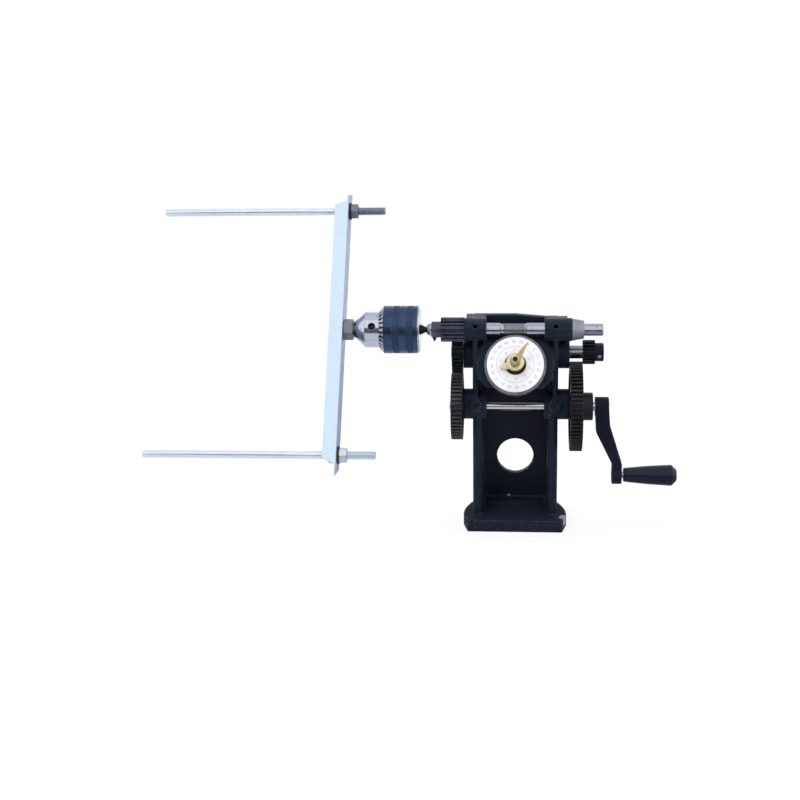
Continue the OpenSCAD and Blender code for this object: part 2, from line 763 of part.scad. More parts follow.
module dial_wheel() {
    color(gear_grey) tilted() counter_wheel(dial_y, dial_teeth, sleeve_tube_r + run_gap);
}

module dial_plate() {
    color(dial_white) tilted() difference() {
        y_rod(dial_y - dial_t, dial_y, wheel_r - rim_w, 0, dial_h);
        y_rod(dial_y - far, dial_y + 1, sleeve_tube_r + run_gap, 0, dial_h);
    }
}

module dial_ring() {
    color(iron) tilted() difference() {
        y_rod(dial_y - dial_t - ring_t, dial_y - dial_t, dial_ring_r, 0, dial_h);
        y_rod(dial_y - far, dial_y, sleeve_tube_r + run_gap, 0, dial_h);
    }
}

module turns_wheel() {
    color(gear_grey) tilted() difference() {
        union() {
            counter_wheel(wheel_split, turns_teeth, post_d / 2 + run_gap);
            y_rod(long_y + pass_gap, wheel_split + wheel_t, sleeve_tube_r, 0, dial_h);
        }
        y_rod(-far, far, post_d / 2 + run_gap, 0, dial_h);
    }
}

module short_pointer() {
    r = short_hub_r;
    end = short_y - short_hub;
    color(brass) tilted() difference() {
        union() {
            y_turned([[short_y, 0], [short_y, r - 0.6], [end + 2, r - 0.6], [end + 1.7, r], [end + 0.3, r],
                [end, r - 0.3], [end, 0]], 0, dial_h);
            blade(short_y - 1.2, short_y - 0.2, short_angle, 12, 10, 5, short_reach);
        }
        y_rod(-far, far, sleeve_tube_r + fit_gap, 0, dial_h);
    }
}

// Round key half in a shaft and half in its gear
module round_key(x0, x1, shaft_d, y, z, r) {
    x_rod(x0, x1, r, y, z + shaft_d / 2);
}

module crank_shaft() {
    end = arm_x + arm_boss - 0.8;
    r = crank_d / 2;
    color(steel) difference() {
        x_turned([[drive_x - 2.2, 0], [drive_x - 2.2, r - 0.6], [drive_x - 1.6, r], [end - 0.6, r],
            [end, r - 0.6], [end, 0]], 0, crank_h);
        round_key(drive_x - far, drive_x + drive_face - 2, crank_d, 0, crank_h, key_r + fit_gap);
    }
}

// Shallow ring turned out of one side of a gear
module side_recess(x0, x1, r0, r1) {
    difference() {
        x_rod(x0, x1, r1);
        x_rod(x0 - 1, x1 + 1, r0);
    }
}

module left_drive_gear() {
    rim = gear_m * drive_teeth / 2 - dedendum - gear_rim;
    color(gear_grey) translate([0, 0, crank_h]) difference() {
        spur(drive_x, drive_face, drive_teeth, mesh_low);
        x_rod(-far, far, crank_d / 2 + fit_gap);
        side_recess(drive_x - 1, drive_x + gear_recess, crank_boss_r - 2, rim);
        side_recess(drive_x + drive_face - gear_recess, drive_x + drive_face + 1, crank_boss_r - 2, rim);
        round_key(drive_x - 1, drive_x + drive_face - 2, crank_d, 0, 0, key_r + fit_gap);
    }
}

module drive_key() {
    color(steel) round_key(drive_x + 0.2, drive_x + drive_face - 2.2, crank_d, 0, crank_h, key_r);
}

module right_drive_gear() {
    rim = gear_m * fast_teeth / 2 - dedendum - gear_rim;
    hub_mid = fast_end - fast_hub / 2;
    color(gear_grey) translate([0, 0, crank_h]) difference() {
        union() {
            spur(fast_x, fast_face, fast_teeth, mesh_low);
            x_turned([[fast_x + 1, 0], [fast_x + 1, fast_hub_r], [fast_end - 0.6, fast_hub_r],
                [fast_end, fast_hub_r - 0.6], [fast_end, 0]]);
        }
        x_rod(-far, far, crank_d / 2 + fit_gap);
        side_recess(fast_x - 1, fast_x + gear_recess, crank_boss_r + 1, rim);
        side_recess(fast_x + fast_face - gear_recess, fast_x + fast_face + 1, fast_hub_r + 2, rim);
        radial_rod(hub_mid, 0, hub_screw_angle, 0, far / 8, screw_r + 0.5 + fit_gap);
    }
}

module gear_set_screw() {
    color(iron) radial_rod(fast_end - fast_hub / 2, crank_h, hub_screw_angle, crank_d / 2 + fit_gap,
        fast_hub_r - 0.6, screw_r + 0.5);
}

module crank_arm() {
    top = crank_h;
    low = handle_h;
    x1 = arm_x + arm_boss;
    f1 = foot_x + arm_foot;
    lean = 1.4;
    color(iron) difference() {
        union() {
            x_turned([[arm_x, 0], [arm_x, arm_boss_r], [x1 - 0.8, arm_boss_r], [x1, arm_boss_r - 0.8],
                [x1, 0]], 0, top);
            x_turned([[foot_x, 0], [foot_x, arm_foot_r - 0.6], [foot_x + 0.6, arm_foot_r],
                [f1 - 0.6, arm_foot_r], [f1, arm_foot_r - 0.6], [f1, 0]], 0, low);
            intersection() {
                y_slab(-far, far, [[arm_x, top], [arm_x + lean, top - arm_bend - 2.9],
                    [foot_x, low + arm_straight + 0.3], [foot_x, low], [f1, low],
                    [f1, low + arm_straight], [x1 + lean, top - arm_bend + 2.9], [x1, top]]);
                x_slab(arm_x - 1, f1 + 1, [[-arm_boss_r + 0.5, top], [-arm_half_w, top - arm_bend],
                    [-arm_half_w, low + arm_straight], [-arm_foot_r + 1.5, low], [arm_foot_r - 1.5, low],
                    [arm_half_w, low + arm_straight], [arm_half_w, top - arm_bend], [arm_boss_r - 0.5, top]]);
            }
        }
        x_rod(arm_x - 1, x1 + 1, crank_d / 2 + fit_gap, 0, top);
        x_rod(foot_x - 1, f1 + 1, handle_pin_r + fit_gap, 0, low);
        radial_rod(arm_x + arm_boss / 2, top, arm_screw_angle, 0, far / 8, screw_r + 0.3 + fit_gap);
    }
}

module arm_set_screw() {
    color(steel) radial_rod(arm_x + arm_boss / 2, crank_h, arm_screw_angle, crank_d / 2 + fit_gap,
        arm_boss_r - 0.5, screw_r + 0.3);
}

module handle_pin() {
    r = handle_pin_r;
    head = grip_end - 2.6 + end_play;
    color(steel) x_turned([[foot_x + 0.4, 0], [foot_x + 0.4, r - 0.4], [foot_x + 0.8, r], [head, r],
        [head, pin_head_r], [head + 0.8, pin_head_r], [head + 1.6, pin_head_r - 1.3], [head + 1.8, 0]],
        0, handle_h);
}

module handle_grip() {
    bore = handle_pin_r + run_gap;
    recess = pin_head_r + pass_gap;
    rise = grip_r_out - grip_r_in;
    full = grip_end - grip_chamfer;
    mid = (grip_x + full) / 2;
    color(iron) x_turned([[grip_x, bore], [grip_x, grip_r_in - 0.7], [grip_x + 0.7, grip_r_in],
        [mid, grip_r_in + 0.62 * rise], [full, grip_r_out], [full + 0.8, grip_r_out - 0.2],
        [grip_end - 0.5, recess + 1.1], [grip_end, recess + 0.6], [grip_end, recess],
        [grip_end - 2.6, recess], [grip_end - 2.6, bore]], 0, handle_h);
}

module shift_fork() {
    slot = groove_r + run_gap;
    h = lay_d / 2 + 3;
    color(steel) difference() {
        x_slab(fork_x - fork_t / 2, fork_x + fork_t / 2, [[lay_back - 4, lay_h - h], [lay_back + 6, lay_h - h],
            [wall_back - pass_gap, lay_h - h + 3], [wall_back - pass_gap, lay_h + h - 3],
            [lay_back + 6, lay_h + h], [lay_back - 4, lay_h + h]]);
        x_rod(-far, far, slot, lay_back, lay_h);
        translate([-far, lay_back - far, lay_h - slot]) cube([2 * far, far, 2 * slot]);
    }
}

module lay_shaft() {
    r = lay_d / 2;
    left = lay_gear_x - 1.2;
    right = lay_pinion_end - 0.6;
    half = fork_t / 2 + pass_gap;
    color(steel) difference() {
        x_turned([[left, 0], [left, r - 0.7], [left + 0.7, r], [fork_x - half, r], [fork_x - half, groove_r],
            [fork_x + half, groove_r], [fork_x + half, r], [right - 0.7, r], [right, r - 0.7], [right, 0]],
            lay_back, lay_h);
        round_key(left - 1, lay_gear_x + lay_face - 2, lay_d, lay_back, lay_h, key_r + fit_gap);
    }
}

module lay_gear() {
    color(gear_grey) translate([0, lay_back, lay_h]) difference() {
        spur(lay_gear_x, lay_face, lay_teeth, lay_phase);
        x_rod(-far, far, lay_d / 2 + fit_gap);
        round_key(lay_gear_x - 1, lay_gear_x + lay_face - 2, lay_d, 0, 0, key_r + fit_gap);
    }
}

module lay_key() {
    color(steel) round_key(lay_gear_x + 0.2, lay_gear_x + lay_face - 2.2, lay_d, lay_back, lay_h, key_r);
}

module lay_pinion() {
    hub = lay_pinion_x + lay_pinion_face;
    color(gear_grey) translate([0, lay_back, lay_h]) difference() {
        union() {
            spur(lay_pinion_x, lay_pinion_face, lay_pinion_teeth, lay_pinion_phase);
            x_turned([[hub - 1, 0], [hub - 1, lay_hub_r], [lay_pinion_end - 0.6, lay_hub_r],
                [lay_pinion_end, lay_hub_r - 0.6], [lay_pinion_end, 0]]);
        }
        x_rod(-far, far, lay_d / 2 + fit_gap);
        radial_rod(hub + lay_hub / 2, 0, lay_screw_angle, 0, far / 8, screw_r + 0.3 + fit_gap);
    }
}

module lay_set_screw() {
    translate([0, lay_back, 0]) color(steel)
        radial_rod(lay_pinion_end - lay_hub / 2, lay_h, lay_screw_angle, lay_d / 2 + fit_gap, lay_hub_r + 0.3,
            screw_r + 0.3);
}

module spindle() {
    r = spindle_d / 2;
    w0 = worm_mid - worm_len / 2;
    w1 = worm_mid + worm_len / 2;
    free_r = spindle_free_d / 2;
    collar_end = collar_x + collar_len;
    color(steel) difference() {
        x_turned([[tip_x, 0], [tip_x, r - 2.8], [tip_x + 0.7, r - 1.7], [tip_x + 1.8, r - 0.8],
            [tip_x + 3.2, r - 0.2], [tip_x + 4.4, r], [w0 - 0.8, r],
            [w0, worm_root_r], [w1, worm_root_r], [w1 + 0.8, r], [collar_end, r], [collar_end, free_r],
            [spindle_end - 0.8, free_r], [spindle_end, free_r - 0.8], [spindle_end, 0]], 0, spindle_h);
        x_rod(tip_x - 1, tip_x + arbor_hold + 0.4, arbor_r + fit_gap, 0, spindle_h);
    }
}

module spindle_pinion() {
    color(gear_grey) translate([0, 0, spindle_h]) difference() {
        union() {
            spur(pinion_x, spindle_face, spindle_teeth, spindle_phase);
            x_turned([[pinion_x + 1, 0], [pinion_x + 1, spindle_hub_r], [pinion_hub_x + 0.4, spindle_hub_r],
                [pinion_hub_x, spindle_hub_r - 0.4], [pinion_hub_x, 0]]);
        }
        x_rod(-far, far, spindle_d / 2 + fit_gap);
        radial_rod(pinion_hub_x + spindle_hub * 0.3, 0, 270, 0, far / 8, screw_r + fit_gap);
    }
}

module pinion_set_screw() {
    x = pinion_hub_x + spindle_hub * 0.3;
    skin = spindle_hub_r + 0.1;
    color(iron) {
        radial_rod(x, spindle_h, 270, spindle_d / 2 + fit_gap, skin + 0.3, screw_r);
        translate([x, 0, spindle_h - skin]) rotate([180, 0, 0])
            cylinder(h = screw_point, r1 = screw_r + 0.5, r2 = 0.4);
    }
}

module end_collar() {
    end = collar_x + collar_len;
    color(steel) difference() {
        x_turned([[collar_x, 0], [collar_x, collar_r], [end - 0.5, collar_r_small], [end, collar_r_small - 0.4],
            [end, 0]], 0, spindle_h);
        x_rod(-far, far, spindle_d / 2 + fit_gap, 0, spindle_h);
        radial_rod(collar_x + collar_len / 2, spindle_h, collar_screw_angle, 0, far / 8,
            screw_r + 0.5 + fit_gap);
    }
}

module collar_set_screw() {
    color(iron) radial_rod(collar_x + collar_len / 2, spindle_h, collar_screw_angle, spindle_d / 2 + fit_gap,
        collar_r_small - 0.4, screw_r + 0.5);
}

module chuck_arbor() {
    r = arbor_r;
    held = tip_x + arbor_hold;
    deep = chuck_back - arbor_socket;
    color(iron) x_turned([[held, 0], [held, r], [tip_x - 1, r], [chuck_back + 0.8, arbor_wide],
        [chuck_back - 0.4, arbor_seat_r], [deep + 0.6, arbor_seat_r], [deep, arbor_seat_r - 0.6], [deep, 0]],
        0, spindle_h);
}

// Jaw shape before turning to its place: a sloped rod above the spindle axis
module sloped_rod(r, s0, s1) {
    slope = jaw_slope;
    translate([jaw_tip_x, 0, jaw_tip_r]) rotate([0, 90 - slope, 0])
        translate([0, 0, s0 / cos(slope)]) cylinder(h = (s1 - s0) / cos(slope), r = r);
}

module chuck_body() {
    back = chuck_back - chuck_flange;
    rear_land = sleeve_back - 2.5;
    cone = chuck_front + chuck_cone;
    land_r = sleeve_in_r - run_gap;
    color(steel) translate([0, 0, spindle_h]) difference() {
        x_turned([[chuck_back, 0], [chuck_back, flange_r - 0.4], [chuck_back - 0.4, flange_r], [back, flange_r],
            [back, land_r],
            [rear_land, land_r], [rear_land, core_r], [land_end, core_r], [land_end, chuck_r],
            [cone, chuck_r], [chuck_front + 0.4, chuck_nose_r], [chuck_front, chuck_nose_r - 0.4],
            [chuck_front, 0]]);
        x_rod(chuck_back - arbor_socket - 0.4, chuck_back + 1, arbor_seat_r + fit_gap);
        x_rod(chuck_front - 1, chuck_front + bolt_grip + 3, bolt_r + 2);
        for (k = [0 : 2])
            rotate([jaw_step * k, 0, 0]) sloped_rod(jaw_r + run_gap, -5, jaw_len + 8.5);
        for (k = [0 : 2])
            radial_rod(cone + key_hole_back, 0, key_hole_angle + jaw_step * k, chuck_r - key_hole_deep, far / 8,
                key_hole_r);
    }
}

module chuck_sleeve() {
    f = sleeve_front;
    r = sleeve_r;
    d = band_depth;
    ease = 0.3;
    a = f + first_band;
    b = f + second_band;
    toe_r = chuck_r + 1;
    slant = atan2(key_bevel, r - 0.5 - toe_r);
    half = 1.2;
    color(blue_black) translate([0, 0, spindle_h]) difference() {
        x_turned([[f, chuck_r + run_gap], [f, toe_r], [f + key_bevel, r - 0.5], [f + key_bevel + 0.6, r],
            [a - ease, r], [a, r - d], [a + band_w, r - d], [a + band_w + ease, r],
            [b - ease, r], [b, r - d], [b + band_w, r - d], [b + band_w + ease, r],
            [sleeve_back - 0.6, r], [sleeve_back, r - 0.6], [sleeve_back, sleeve_in_r],
            [sleeve_lip, sleeve_in_r], [sleeve_lip, chuck_r + run_gap]]);
        for (k = [0 : key_teeth - 1])
            rotate([360 / key_teeth * k, 0, 0]) translate([f, 0, toe_r]) rotate([0, slant, 0])
                translate([0, 0, -1.5]) linear_extrude(2 * key_bevel + 3)
                    polygon([[-0.5, -half], [-0.5, half], [key_tooth, 0]]);
    }
}

module chuck_nut() {
    x1 = nut_x + jaw_nut;
    lean = tan(jaw_slope);
    r0 = jaw_tip_r + (nut_x - jaw_tip_x) * lean + jaw_skin + pass_gap;
    r1 = jaw_tip_r + (x1 - jaw_tip_x) * lean + jaw_skin + pass_gap;
    color(steel) x_turned([[nut_x, r0], [nut_x, sleeve_in_r - fit_gap], [x1, sleeve_in_r - fit_gap], [x1, r1]],
        0, spindle_h);
}

module jaw(turn) {
    flat = bolt_r + 0.05;
    rise = (chuck_r - chuck_nose_r) / chuck_cone;
    nose = chuck_nose_r - pass_gap - rise * jaw_out;
    color(steel) translate([0, 0, spindle_h]) rotate([turn, 0, 0]) difference() {
        sloped_rod(jaw_r, -5, jaw_len);
        translate([jaw_tip_x - far, -far / 2, -far / 2]) cube([far, far, far]);
        translate([jaw_tip_x - 10, -far / 2, -far]) cube([60, far, far + flat]);
        x_turned([[jaw_tip_x - 1, nose - rise], [jaw_tip_x + chuck_cone, nose + rise * chuck_cone],
            [jaw_tip_x + chuck_cone, far / 8], [jaw_tip_x - 1, far / 8]]);
    }
}

module jaw_1() {
    jaw(0);
}

module jaw_2() {
    jaw(jaw_step);
}

module jaw_3() {
    jaw(2 * jaw_step);
}

// Places the winding frame: turned about the spindle, its upper end to the back
module framed() {
    translate([0, 0, spindle_h]) rotate([-frame_turn, 0, 0]) children();
}

module frame_bolt() {
    back = bar_x - bar_t;
    end = chuck_front + bolt_grip;
    color(zinc) framed() {
        translate([back - bolt_head, 0, 0]) rotate([0, 90, 0])
            cylinder(h = bolt_head, r = bolt_flats / sqrt(3), $fn = 6);
        x_turned([[back - 1, 0], [back - 1, bolt_r], [end - 0.8, bolt_r], [end, bolt_r - 0.8], [end, 0]]);
    }
}

module frame_nut() {
    color(zinc) framed() x_hex(bar_x, bar_x + bolt_nut, bolt_flats, bolt_r + fit_gap);
}

module cross_bar() {
    top = rod_offset + bar_top;
    low = -rod_offset - bar_bottom;
    front = -bar_hole;
    rear = bar_deep - bar_hole;
    free = bar_x - bar_wide;
    color(zinc) framed() difference() {
        union() {
            x_slab(bar_x - bar_t, bar_x, [[front, low], [front, top], [rear, top + bar_slant],
                [rear, low + bar_slant]]);
            y_slab(front, front + bar_t, [[bar_x, low + trim_corner + trim_low], [bar_x, top - trim_corner],
                [free, top - trim_free], [free, low + trim_free + trim_low]]);
        }
        x_rod(-far, 0, bolt_r + fit_gap);
        for (s = [-1, 1]) x_rod(-far, 0, rod_thread_r + fit_gap, 0, s * rod_offset);
    }
}

module frame_rod(side) {
    left = bar_x - bar_t - rod_left;
    right = bar_x + rod_right;
    step = bar_x - bar_t - rod_nut - 3;
    color(zinc) framed() x_turned([[left, 0], [left, rod_r - 0.9], [left + 0.9, rod_r], [step, rod_r],
        [step + 0.4, rod_thread_r], [right - 0.8, rod_thread_r], [right, rod_thread_r - 0.8], [right, 0]],
        0, side * rod_offset);
}

module upper_rod() {
    frame_rod(1);
}

module lower_rod() {
    frame_rod(-1);
}

module rod_nuts() {
    inner = bar_x - bar_t - rod_nut;
    outer = bar_x + washer_t;
    color(zinc) framed() for (s = [-1, 1]) translate([0, 0, s * rod_offset]) {
        x_hex(inner, inner + rod_nut, rod_flats, rod_thread_r + fit_gap);
        x_hex(outer, outer + rod_nut, rod_flats, rod_thread_r + fit_gap);
    }
}

module rod_washers() {
    color(iron) framed() for (s = [-1, 1]) difference() {
        x_rod(bar_x, bar_x + washer_t, washer_r, 0, s * rod_offset);
        x_rod(bar_x - 1, bar_x + washer_t + 1, rod_thread_r + fit_gap, 0, s * rod_offset);
    }
}

cast_frame();
spindle_bushes();
lay_bushes();
crank_bushes();
bush_lock_screws();
counter_post();
long_pointer();
pointer_nut();
dial_wheel();
dial_plate();
dial_ring();
turns_wheel();
short_pointer();
crank_shaft();
left_drive_gear();
drive_key();
right_drive_gear();
gear_set_screw();
crank_arm();
arm_set_screw();
handle_pin();
handle_grip();
shift_fork();
lay_shaft();
lay_gear();
lay_key();
lay_pinion();
lay_set_screw();
spindle();
spindle_pinion();
pinion_set_screw();
end_collar();
collar_set_screw();
chuck_arbor();
chuck_body();
chuck_sleeve();
chuck_nut();
jaw_1();
jaw_2();
jaw_3();
frame_bolt();
frame_nut();
cross_bar();
upper_rod();
lower_rod();
rod_nuts();
rod_washers();
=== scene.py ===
"""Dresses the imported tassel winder: a finish for every solid, and the fine pieces that show up close."""
import logging
import math
from dataclasses import dataclass, field
from enum import Enum
from typing import Callable, ClassVar, Iterable, Sequence

import bmesh
import bpy
from mathutils import Color, Matrix, Vector

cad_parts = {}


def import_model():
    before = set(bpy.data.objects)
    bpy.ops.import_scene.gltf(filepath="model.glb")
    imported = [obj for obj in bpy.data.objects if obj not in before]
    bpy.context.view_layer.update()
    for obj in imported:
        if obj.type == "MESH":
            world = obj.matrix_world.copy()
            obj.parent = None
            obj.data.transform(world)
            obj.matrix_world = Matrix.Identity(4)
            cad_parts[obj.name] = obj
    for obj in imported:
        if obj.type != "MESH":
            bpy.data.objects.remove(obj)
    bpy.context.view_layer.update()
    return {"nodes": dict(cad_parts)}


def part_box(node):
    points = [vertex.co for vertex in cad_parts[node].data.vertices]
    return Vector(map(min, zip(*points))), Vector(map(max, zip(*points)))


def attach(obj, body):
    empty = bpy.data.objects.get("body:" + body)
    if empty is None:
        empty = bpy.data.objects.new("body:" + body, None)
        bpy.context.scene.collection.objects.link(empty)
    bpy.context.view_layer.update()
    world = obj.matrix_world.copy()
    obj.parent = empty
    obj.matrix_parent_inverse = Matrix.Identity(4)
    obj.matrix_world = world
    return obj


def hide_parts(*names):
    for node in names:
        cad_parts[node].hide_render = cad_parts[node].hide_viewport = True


LOG = logging.getLogger("tassel_winder")
MM = 0.001
# Gap under which two vertices become one, in metres
WELD = 1e-7
# A point on the line that spindle, chuck and winding frame turn about, in mm
SPINDLE_AXIS = (0.0, 0.0, 183.0)
# How far the counter leans back on its worm, in degrees
COUNTER_TILT = 29.0
# Rays of a Bevel node
BEVEL_SAMPLES = 5
# Top level of a display colour
FULL_LEVEL = 255.0

Colour = tuple[float, float, float, float]
Point = tuple[float, float, float]
Span = tuple[float, float]
Profile = Sequence[tuple[float, float]]
Socket = bpy.types.NodeSocket


class Axis(Enum):
    """The direction that a turned piece runs along."""

    X = "X"
    Y = "Y"


def tint(red: int, green: int, blue: int) -> Colour:
    """Turn a display colour, each part from 0 to 255, into a linear shader colour."""
    linear = Color((red / FULL_LEVEL, green / FULL_LEVEL, blue / FULL_LEVEL)).from_srgb_to_scene_linear()
    return (linear.r, linear.g, linear.b, 1.0)


# Near black, painted as shade in the sleeve's tooth grooves and along listed lengths of turned steel
PAINTED_SHADE_COLOUR = tint(14, 14, 18)
WHITE: Colour = (1.0, 1.0, 1.0, 1.0)


class Sketch:
    """Adds the nodes of one shader tree and joins them."""

    MIX_SHARE: ClassVar[int] = 0
    MIX_FIRST: ClassVar[int] = 6
    MIX_SECOND: ClassVar[int] = 7
    MIX_RESULT: ClassVar[int] = 2

    def __init__(self, tree: bpy.types.NodeTree) -> None:
        """Keep the tree that the nodes go into."""
        self.tree = tree

    @classmethod
    def blank(cls, owner: bpy.types.Material | bpy.types.World) -> "Sketch":
        """Empty the tree of a material or world.

        Args:
            owner: The material or world.

        Returns:
            A sketch of its empty tree.
        """
        owner.use_nodes = True
        owner.node_tree.nodes.clear()
        return cls(owner.node_tree)

    def plug(self, socket: Socket, value: object) -> None:
        """Join a socket to an input, or set the input's value.

        Args:
            socket: The input.
            value: The socket that feeds it, or its value.
        """
        if isinstance(value, bpy.types.NodeSocket):
            self.tree.links.new(value, socket)
        else:
            socket.default_value = value

    def add(self, kind: str, inputs: dict[str | int, object] | None = None,
            **settings: object) -> bpy.types.Node:
        """Add one node.

        Args:
            kind: The node's type without its ShaderNode prefix.
            inputs: Values or sockets for its inputs, by name or number.
            settings: Properties of the node.

        Returns:
            The new node.
        """
        node = self.tree.nodes.new("ShaderNode" + kind)
        for key, value in settings.items():
            setattr(node, key, value)
        for key, value in (inputs or {}).items():
            self.plug(node.inputs[key], value)
        return node

    def calc(self, operation: str, first: object, second: object = 0.0, clamp: bool = False) -> Socket:
        """Add a math step, held between 0 and 1 if clamp is set."""
        return self.add("Math", {0: first, 1: second}, operation=operation, use_clamp=clamp).outputs[0]

    def span(self, value: object, low: float, high: float, start: float = 0.0, end: float = 1.0) -> Socket:
        """Map a range of values to another, held at its ends.

        Args:
            value: The value to map.
            low: Value that gives start.
            high: Value that gives end.
            start: Result at low.
            end: Result at high.

        Returns:
            The mapped value.
        """
        ends = {"Value": value, "From Min": low, "From Max": high, "To Min": start, "To Max": end}
        return self.add("MapRange", ends, clamp=True).outputs["Result"]

    def vary(self, pattern: Socket, middle: float, below: float, above: float) -> Socket:
        """Let a value wander about its middle as a pattern goes from 0 to 1."""
        return self.span(pattern, 0.0, 1.0, middle - below, middle + above)

    def between(self, value: Socket, low: float, high: float) -> Socket:
        """Mask the values that lie between two others."""
        past = self.calc("GREATER_THAN", value, low)
        return self.calc("MULTIPLY", past, self.calc("LESS_THAN", value, high))

    def blend(self, amount: object, first: object, second: object) -> Socket:
        """Mix two colours by the second one's share."""
        inputs = {self.MIX_SHARE: amount, self.MIX_FIRST: first, self.MIX_SECOND: second}
        return self.add("Mix", inputs, data_type="RGBA").outputs[self.MIX_RESULT]

    def merge(self, amount: object, first: Socket, second: Socket) -> Socket:
        """Mix two shaders by the second one's share."""
        return self.add("MixShader", {0: amount, 1: first, 2: second}).outputs[0]

    def noise(self, place: Socket, scale: object, detail: float = 3.0, rough: float = 0.55) -> Socket:
        """Add a noise pattern.

        Args:
            place: Where it is read.
            scale: Its scale per metre.
            detail: Its octaves.
            rough: How strong the fine octaves are.

        Returns:
            The pattern's value.
        """
        inputs = {"Vector": place, "Scale": scale, "Detail": detail, "Roughness": rough}
        return self.add("TexNoise", inputs).outputs[0]

    def place(self, centre: Point = (0.0, 0.0, 0.0)) -> Socket:
        """Give object coordinates about a centre.

        Args:
            centre: The point that becomes the origin, in mm.

        Returns:
            The coordinates.
        """
        coords = self.add("TexCoord").outputs["Object"]
        shift = tuple(-value * MM for value in centre)
        return self.add("Mapping", {"Vector": coords, "Location": shift}).outputs[0]

    def split(self, place: Socket) -> tuple[Socket, ...]:
        """Give the X, Y and Z parts of a place."""
        return tuple(self.add("SeparateXYZ", {"Vector": place}).outputs)

    def reach(self, across: Socket, above: Socket) -> Socket:
        """Give the distance from the X direction for a place's Y and Z parts."""
        square = self.calc("ADD", self.calc("POWER", across, 2.0), self.calc("POWER", above, 2.0))
        return self.calc("SQRT", square)


Given = bpy.types.NodeOutputs
Draw = Callable[[Sketch, Given], dict[str, Socket]]


class Effects:
    """Shared shader groups, each built once and placed with its own values."""

    CORNER: ClassVar[Span] = (0.985, 0.86)
    GRIT: ClassVar[Span] = (0.38, 0.62)
    BROAD: ClassVar[Span] = (0.34, 0.66)
    FINE: ClassVar[Span] = (0.3, 0.7)
    FINER: ClassVar[float] = 14.0

    @staticmethod
    def _placed(name: str, sketch: Sketch, inputs: dict[str, object], outputs: Iterable[str],
                draw: Draw) -> Given:
        """Place a shared group, and build it the first time.

        Args:
            name: The group's name.
            sketch: The tree that it is placed in.
            inputs: Values or sockets for its inputs; Place is a vector and the others are values.
            outputs: Names of its value outputs.
            draw: Draws its nodes and gives a socket for each output.

        Returns:
            The placed group's outputs.
        """
        tree = bpy.data.node_groups.get(name)
        if tree is None:
            tree = bpy.data.node_groups.new(name, "ShaderNodeTree")
            for label in inputs:
                kind = "NodeSocketVector" if label == "Place" else "NodeSocketFloat"
                tree.interface.new_socket(label, in_out="INPUT", socket_type=kind)
            for label in outputs:
                tree.interface.new_socket(label, in_out="OUTPUT", socket_type="NodeSocketFloat")
            inner = Sketch(tree)
            given = tree.nodes.new("NodeGroupInput").outputs
            result = tree.nodes.new("NodeGroupOutput").inputs
            for label, socket in draw(inner, given).items():
                inner.plug(result[label], socket)
        return sketch.add("Group", inputs, node_tree=tree).outputs

    @classmethod
    def _draw_rub(cls, inner: Sketch, given: Given) -> dict[str, Socket]:
        """Find corners by the turn of a rounded normal, and break them up with grit.

        Args:
            inner: The group's tree.
            given: The group's inputs.

        Returns:
            The mask.
        """
        rounded = inner.add("Bevel", {"Radius": given["Width"]}, samples=BEVEL_SAMPLES).outputs[0]
        face = inner.add("NewGeometry").outputs["Normal"]
        turn = inner.add("VectorMath", {0: rounded, 1: face}, operation="DOT_PRODUCT").outputs["Value"]
        grit = inner.noise(given["Place"], given["Breakup"], detail=4.0, rough=0.6)
        return {"Mask": inner.calc("MULTIPLY", inner.span(turn, *cls.CORNER), inner.span(grit, *cls.GRIT))}

    @classmethod
    def _draw_mottle(cls, inner: Sketch, given: Given) -> dict[str, Socket]:
        """Draw two sizes of noise.

        Args:
            inner: The group's tree.
            given: The group's inputs.

        Returns:
            The broad and the fine pattern.
        """
        broad = inner.noise(given["Place"], given["Scale"], detail=4.0, rough=0.62)
        fine = inner.noise(given["Place"], inner.calc("MULTIPLY", given["Scale"], cls.FINER), rough=0.6)
        return {"Broad": inner.span(broad, *cls.BROAD), "Fine": inner.span(fine, *cls.FINE)}

    @staticmethod
    def _draw_lines(inner: Sketch, given: Given) -> dict[str, Socket]:
        """Draw noise that is the same all round the X direction.

        Args:
            inner: The group's tree.
            given: The group's inputs.

        Returns:
            The lines.
        """
        along, across, above = inner.split(given["Place"])
        flat = inner.add("CombineXYZ", {"X": along, "Y": inner.reach(across, above), "Z": 0.0}).outputs[0]
        return {"Lines": inner.noise(flat, given["Scale"], detail=2.0, rough=0.5)}

    @classmethod
    def edge_rub(cls, sketch: Sketch, place: Socket, width: float, breakup: float) -> Socket:
        """Mask the corners, for wear and, on gear teeth, for painted highlight.

        Args:
            sketch: The material's tree.
            place: Where it is read.
            width: Width of the marked corners, in mm.
            breakup: Scale of the grit that breaks them up.

        Returns:
            The mask.
        """
        inputs = {"Place": place, "Width": width * MM, "Breakup": breakup}
        return cls._placed("edge_rub", sketch, inputs, ["Mask"], cls._draw_rub)["Mask"]

    @classmethod
    def mottle(cls, sketch: Sketch, place: Socket, scale: float) -> tuple[Socket, Socket]:
        """Give broad patches and fine grit over a surface.

        Args:
            sketch: The material's tree.
            place: Where it is read.
            scale: Scale of the broad patches.

        Returns:
            The broad and the fine pattern.
        """
        inputs = {"Place": place, "Scale": scale}
        made = cls._placed("mottle", sketch, inputs, ["Broad", "Fine"], cls._draw_mottle)
        return made["Broad"], made["Fine"]

    @classmethod
    def lathe_lines(cls, sketch: Sketch, place: Socket, scale: float) -> Socket:
        """Give the fine rings that a turning tool leaves about the X direction.

        Args:
            sketch: The material's tree.
            place: Where it is read.
            scale: Scale of the rings.

        Returns:
            The rings.
        """
        inputs = {"Place": place, "Scale": scale}
        return cls._placed("lathe_lines", sketch, inputs, ["Lines"], cls._draw_lines)["Lines"]


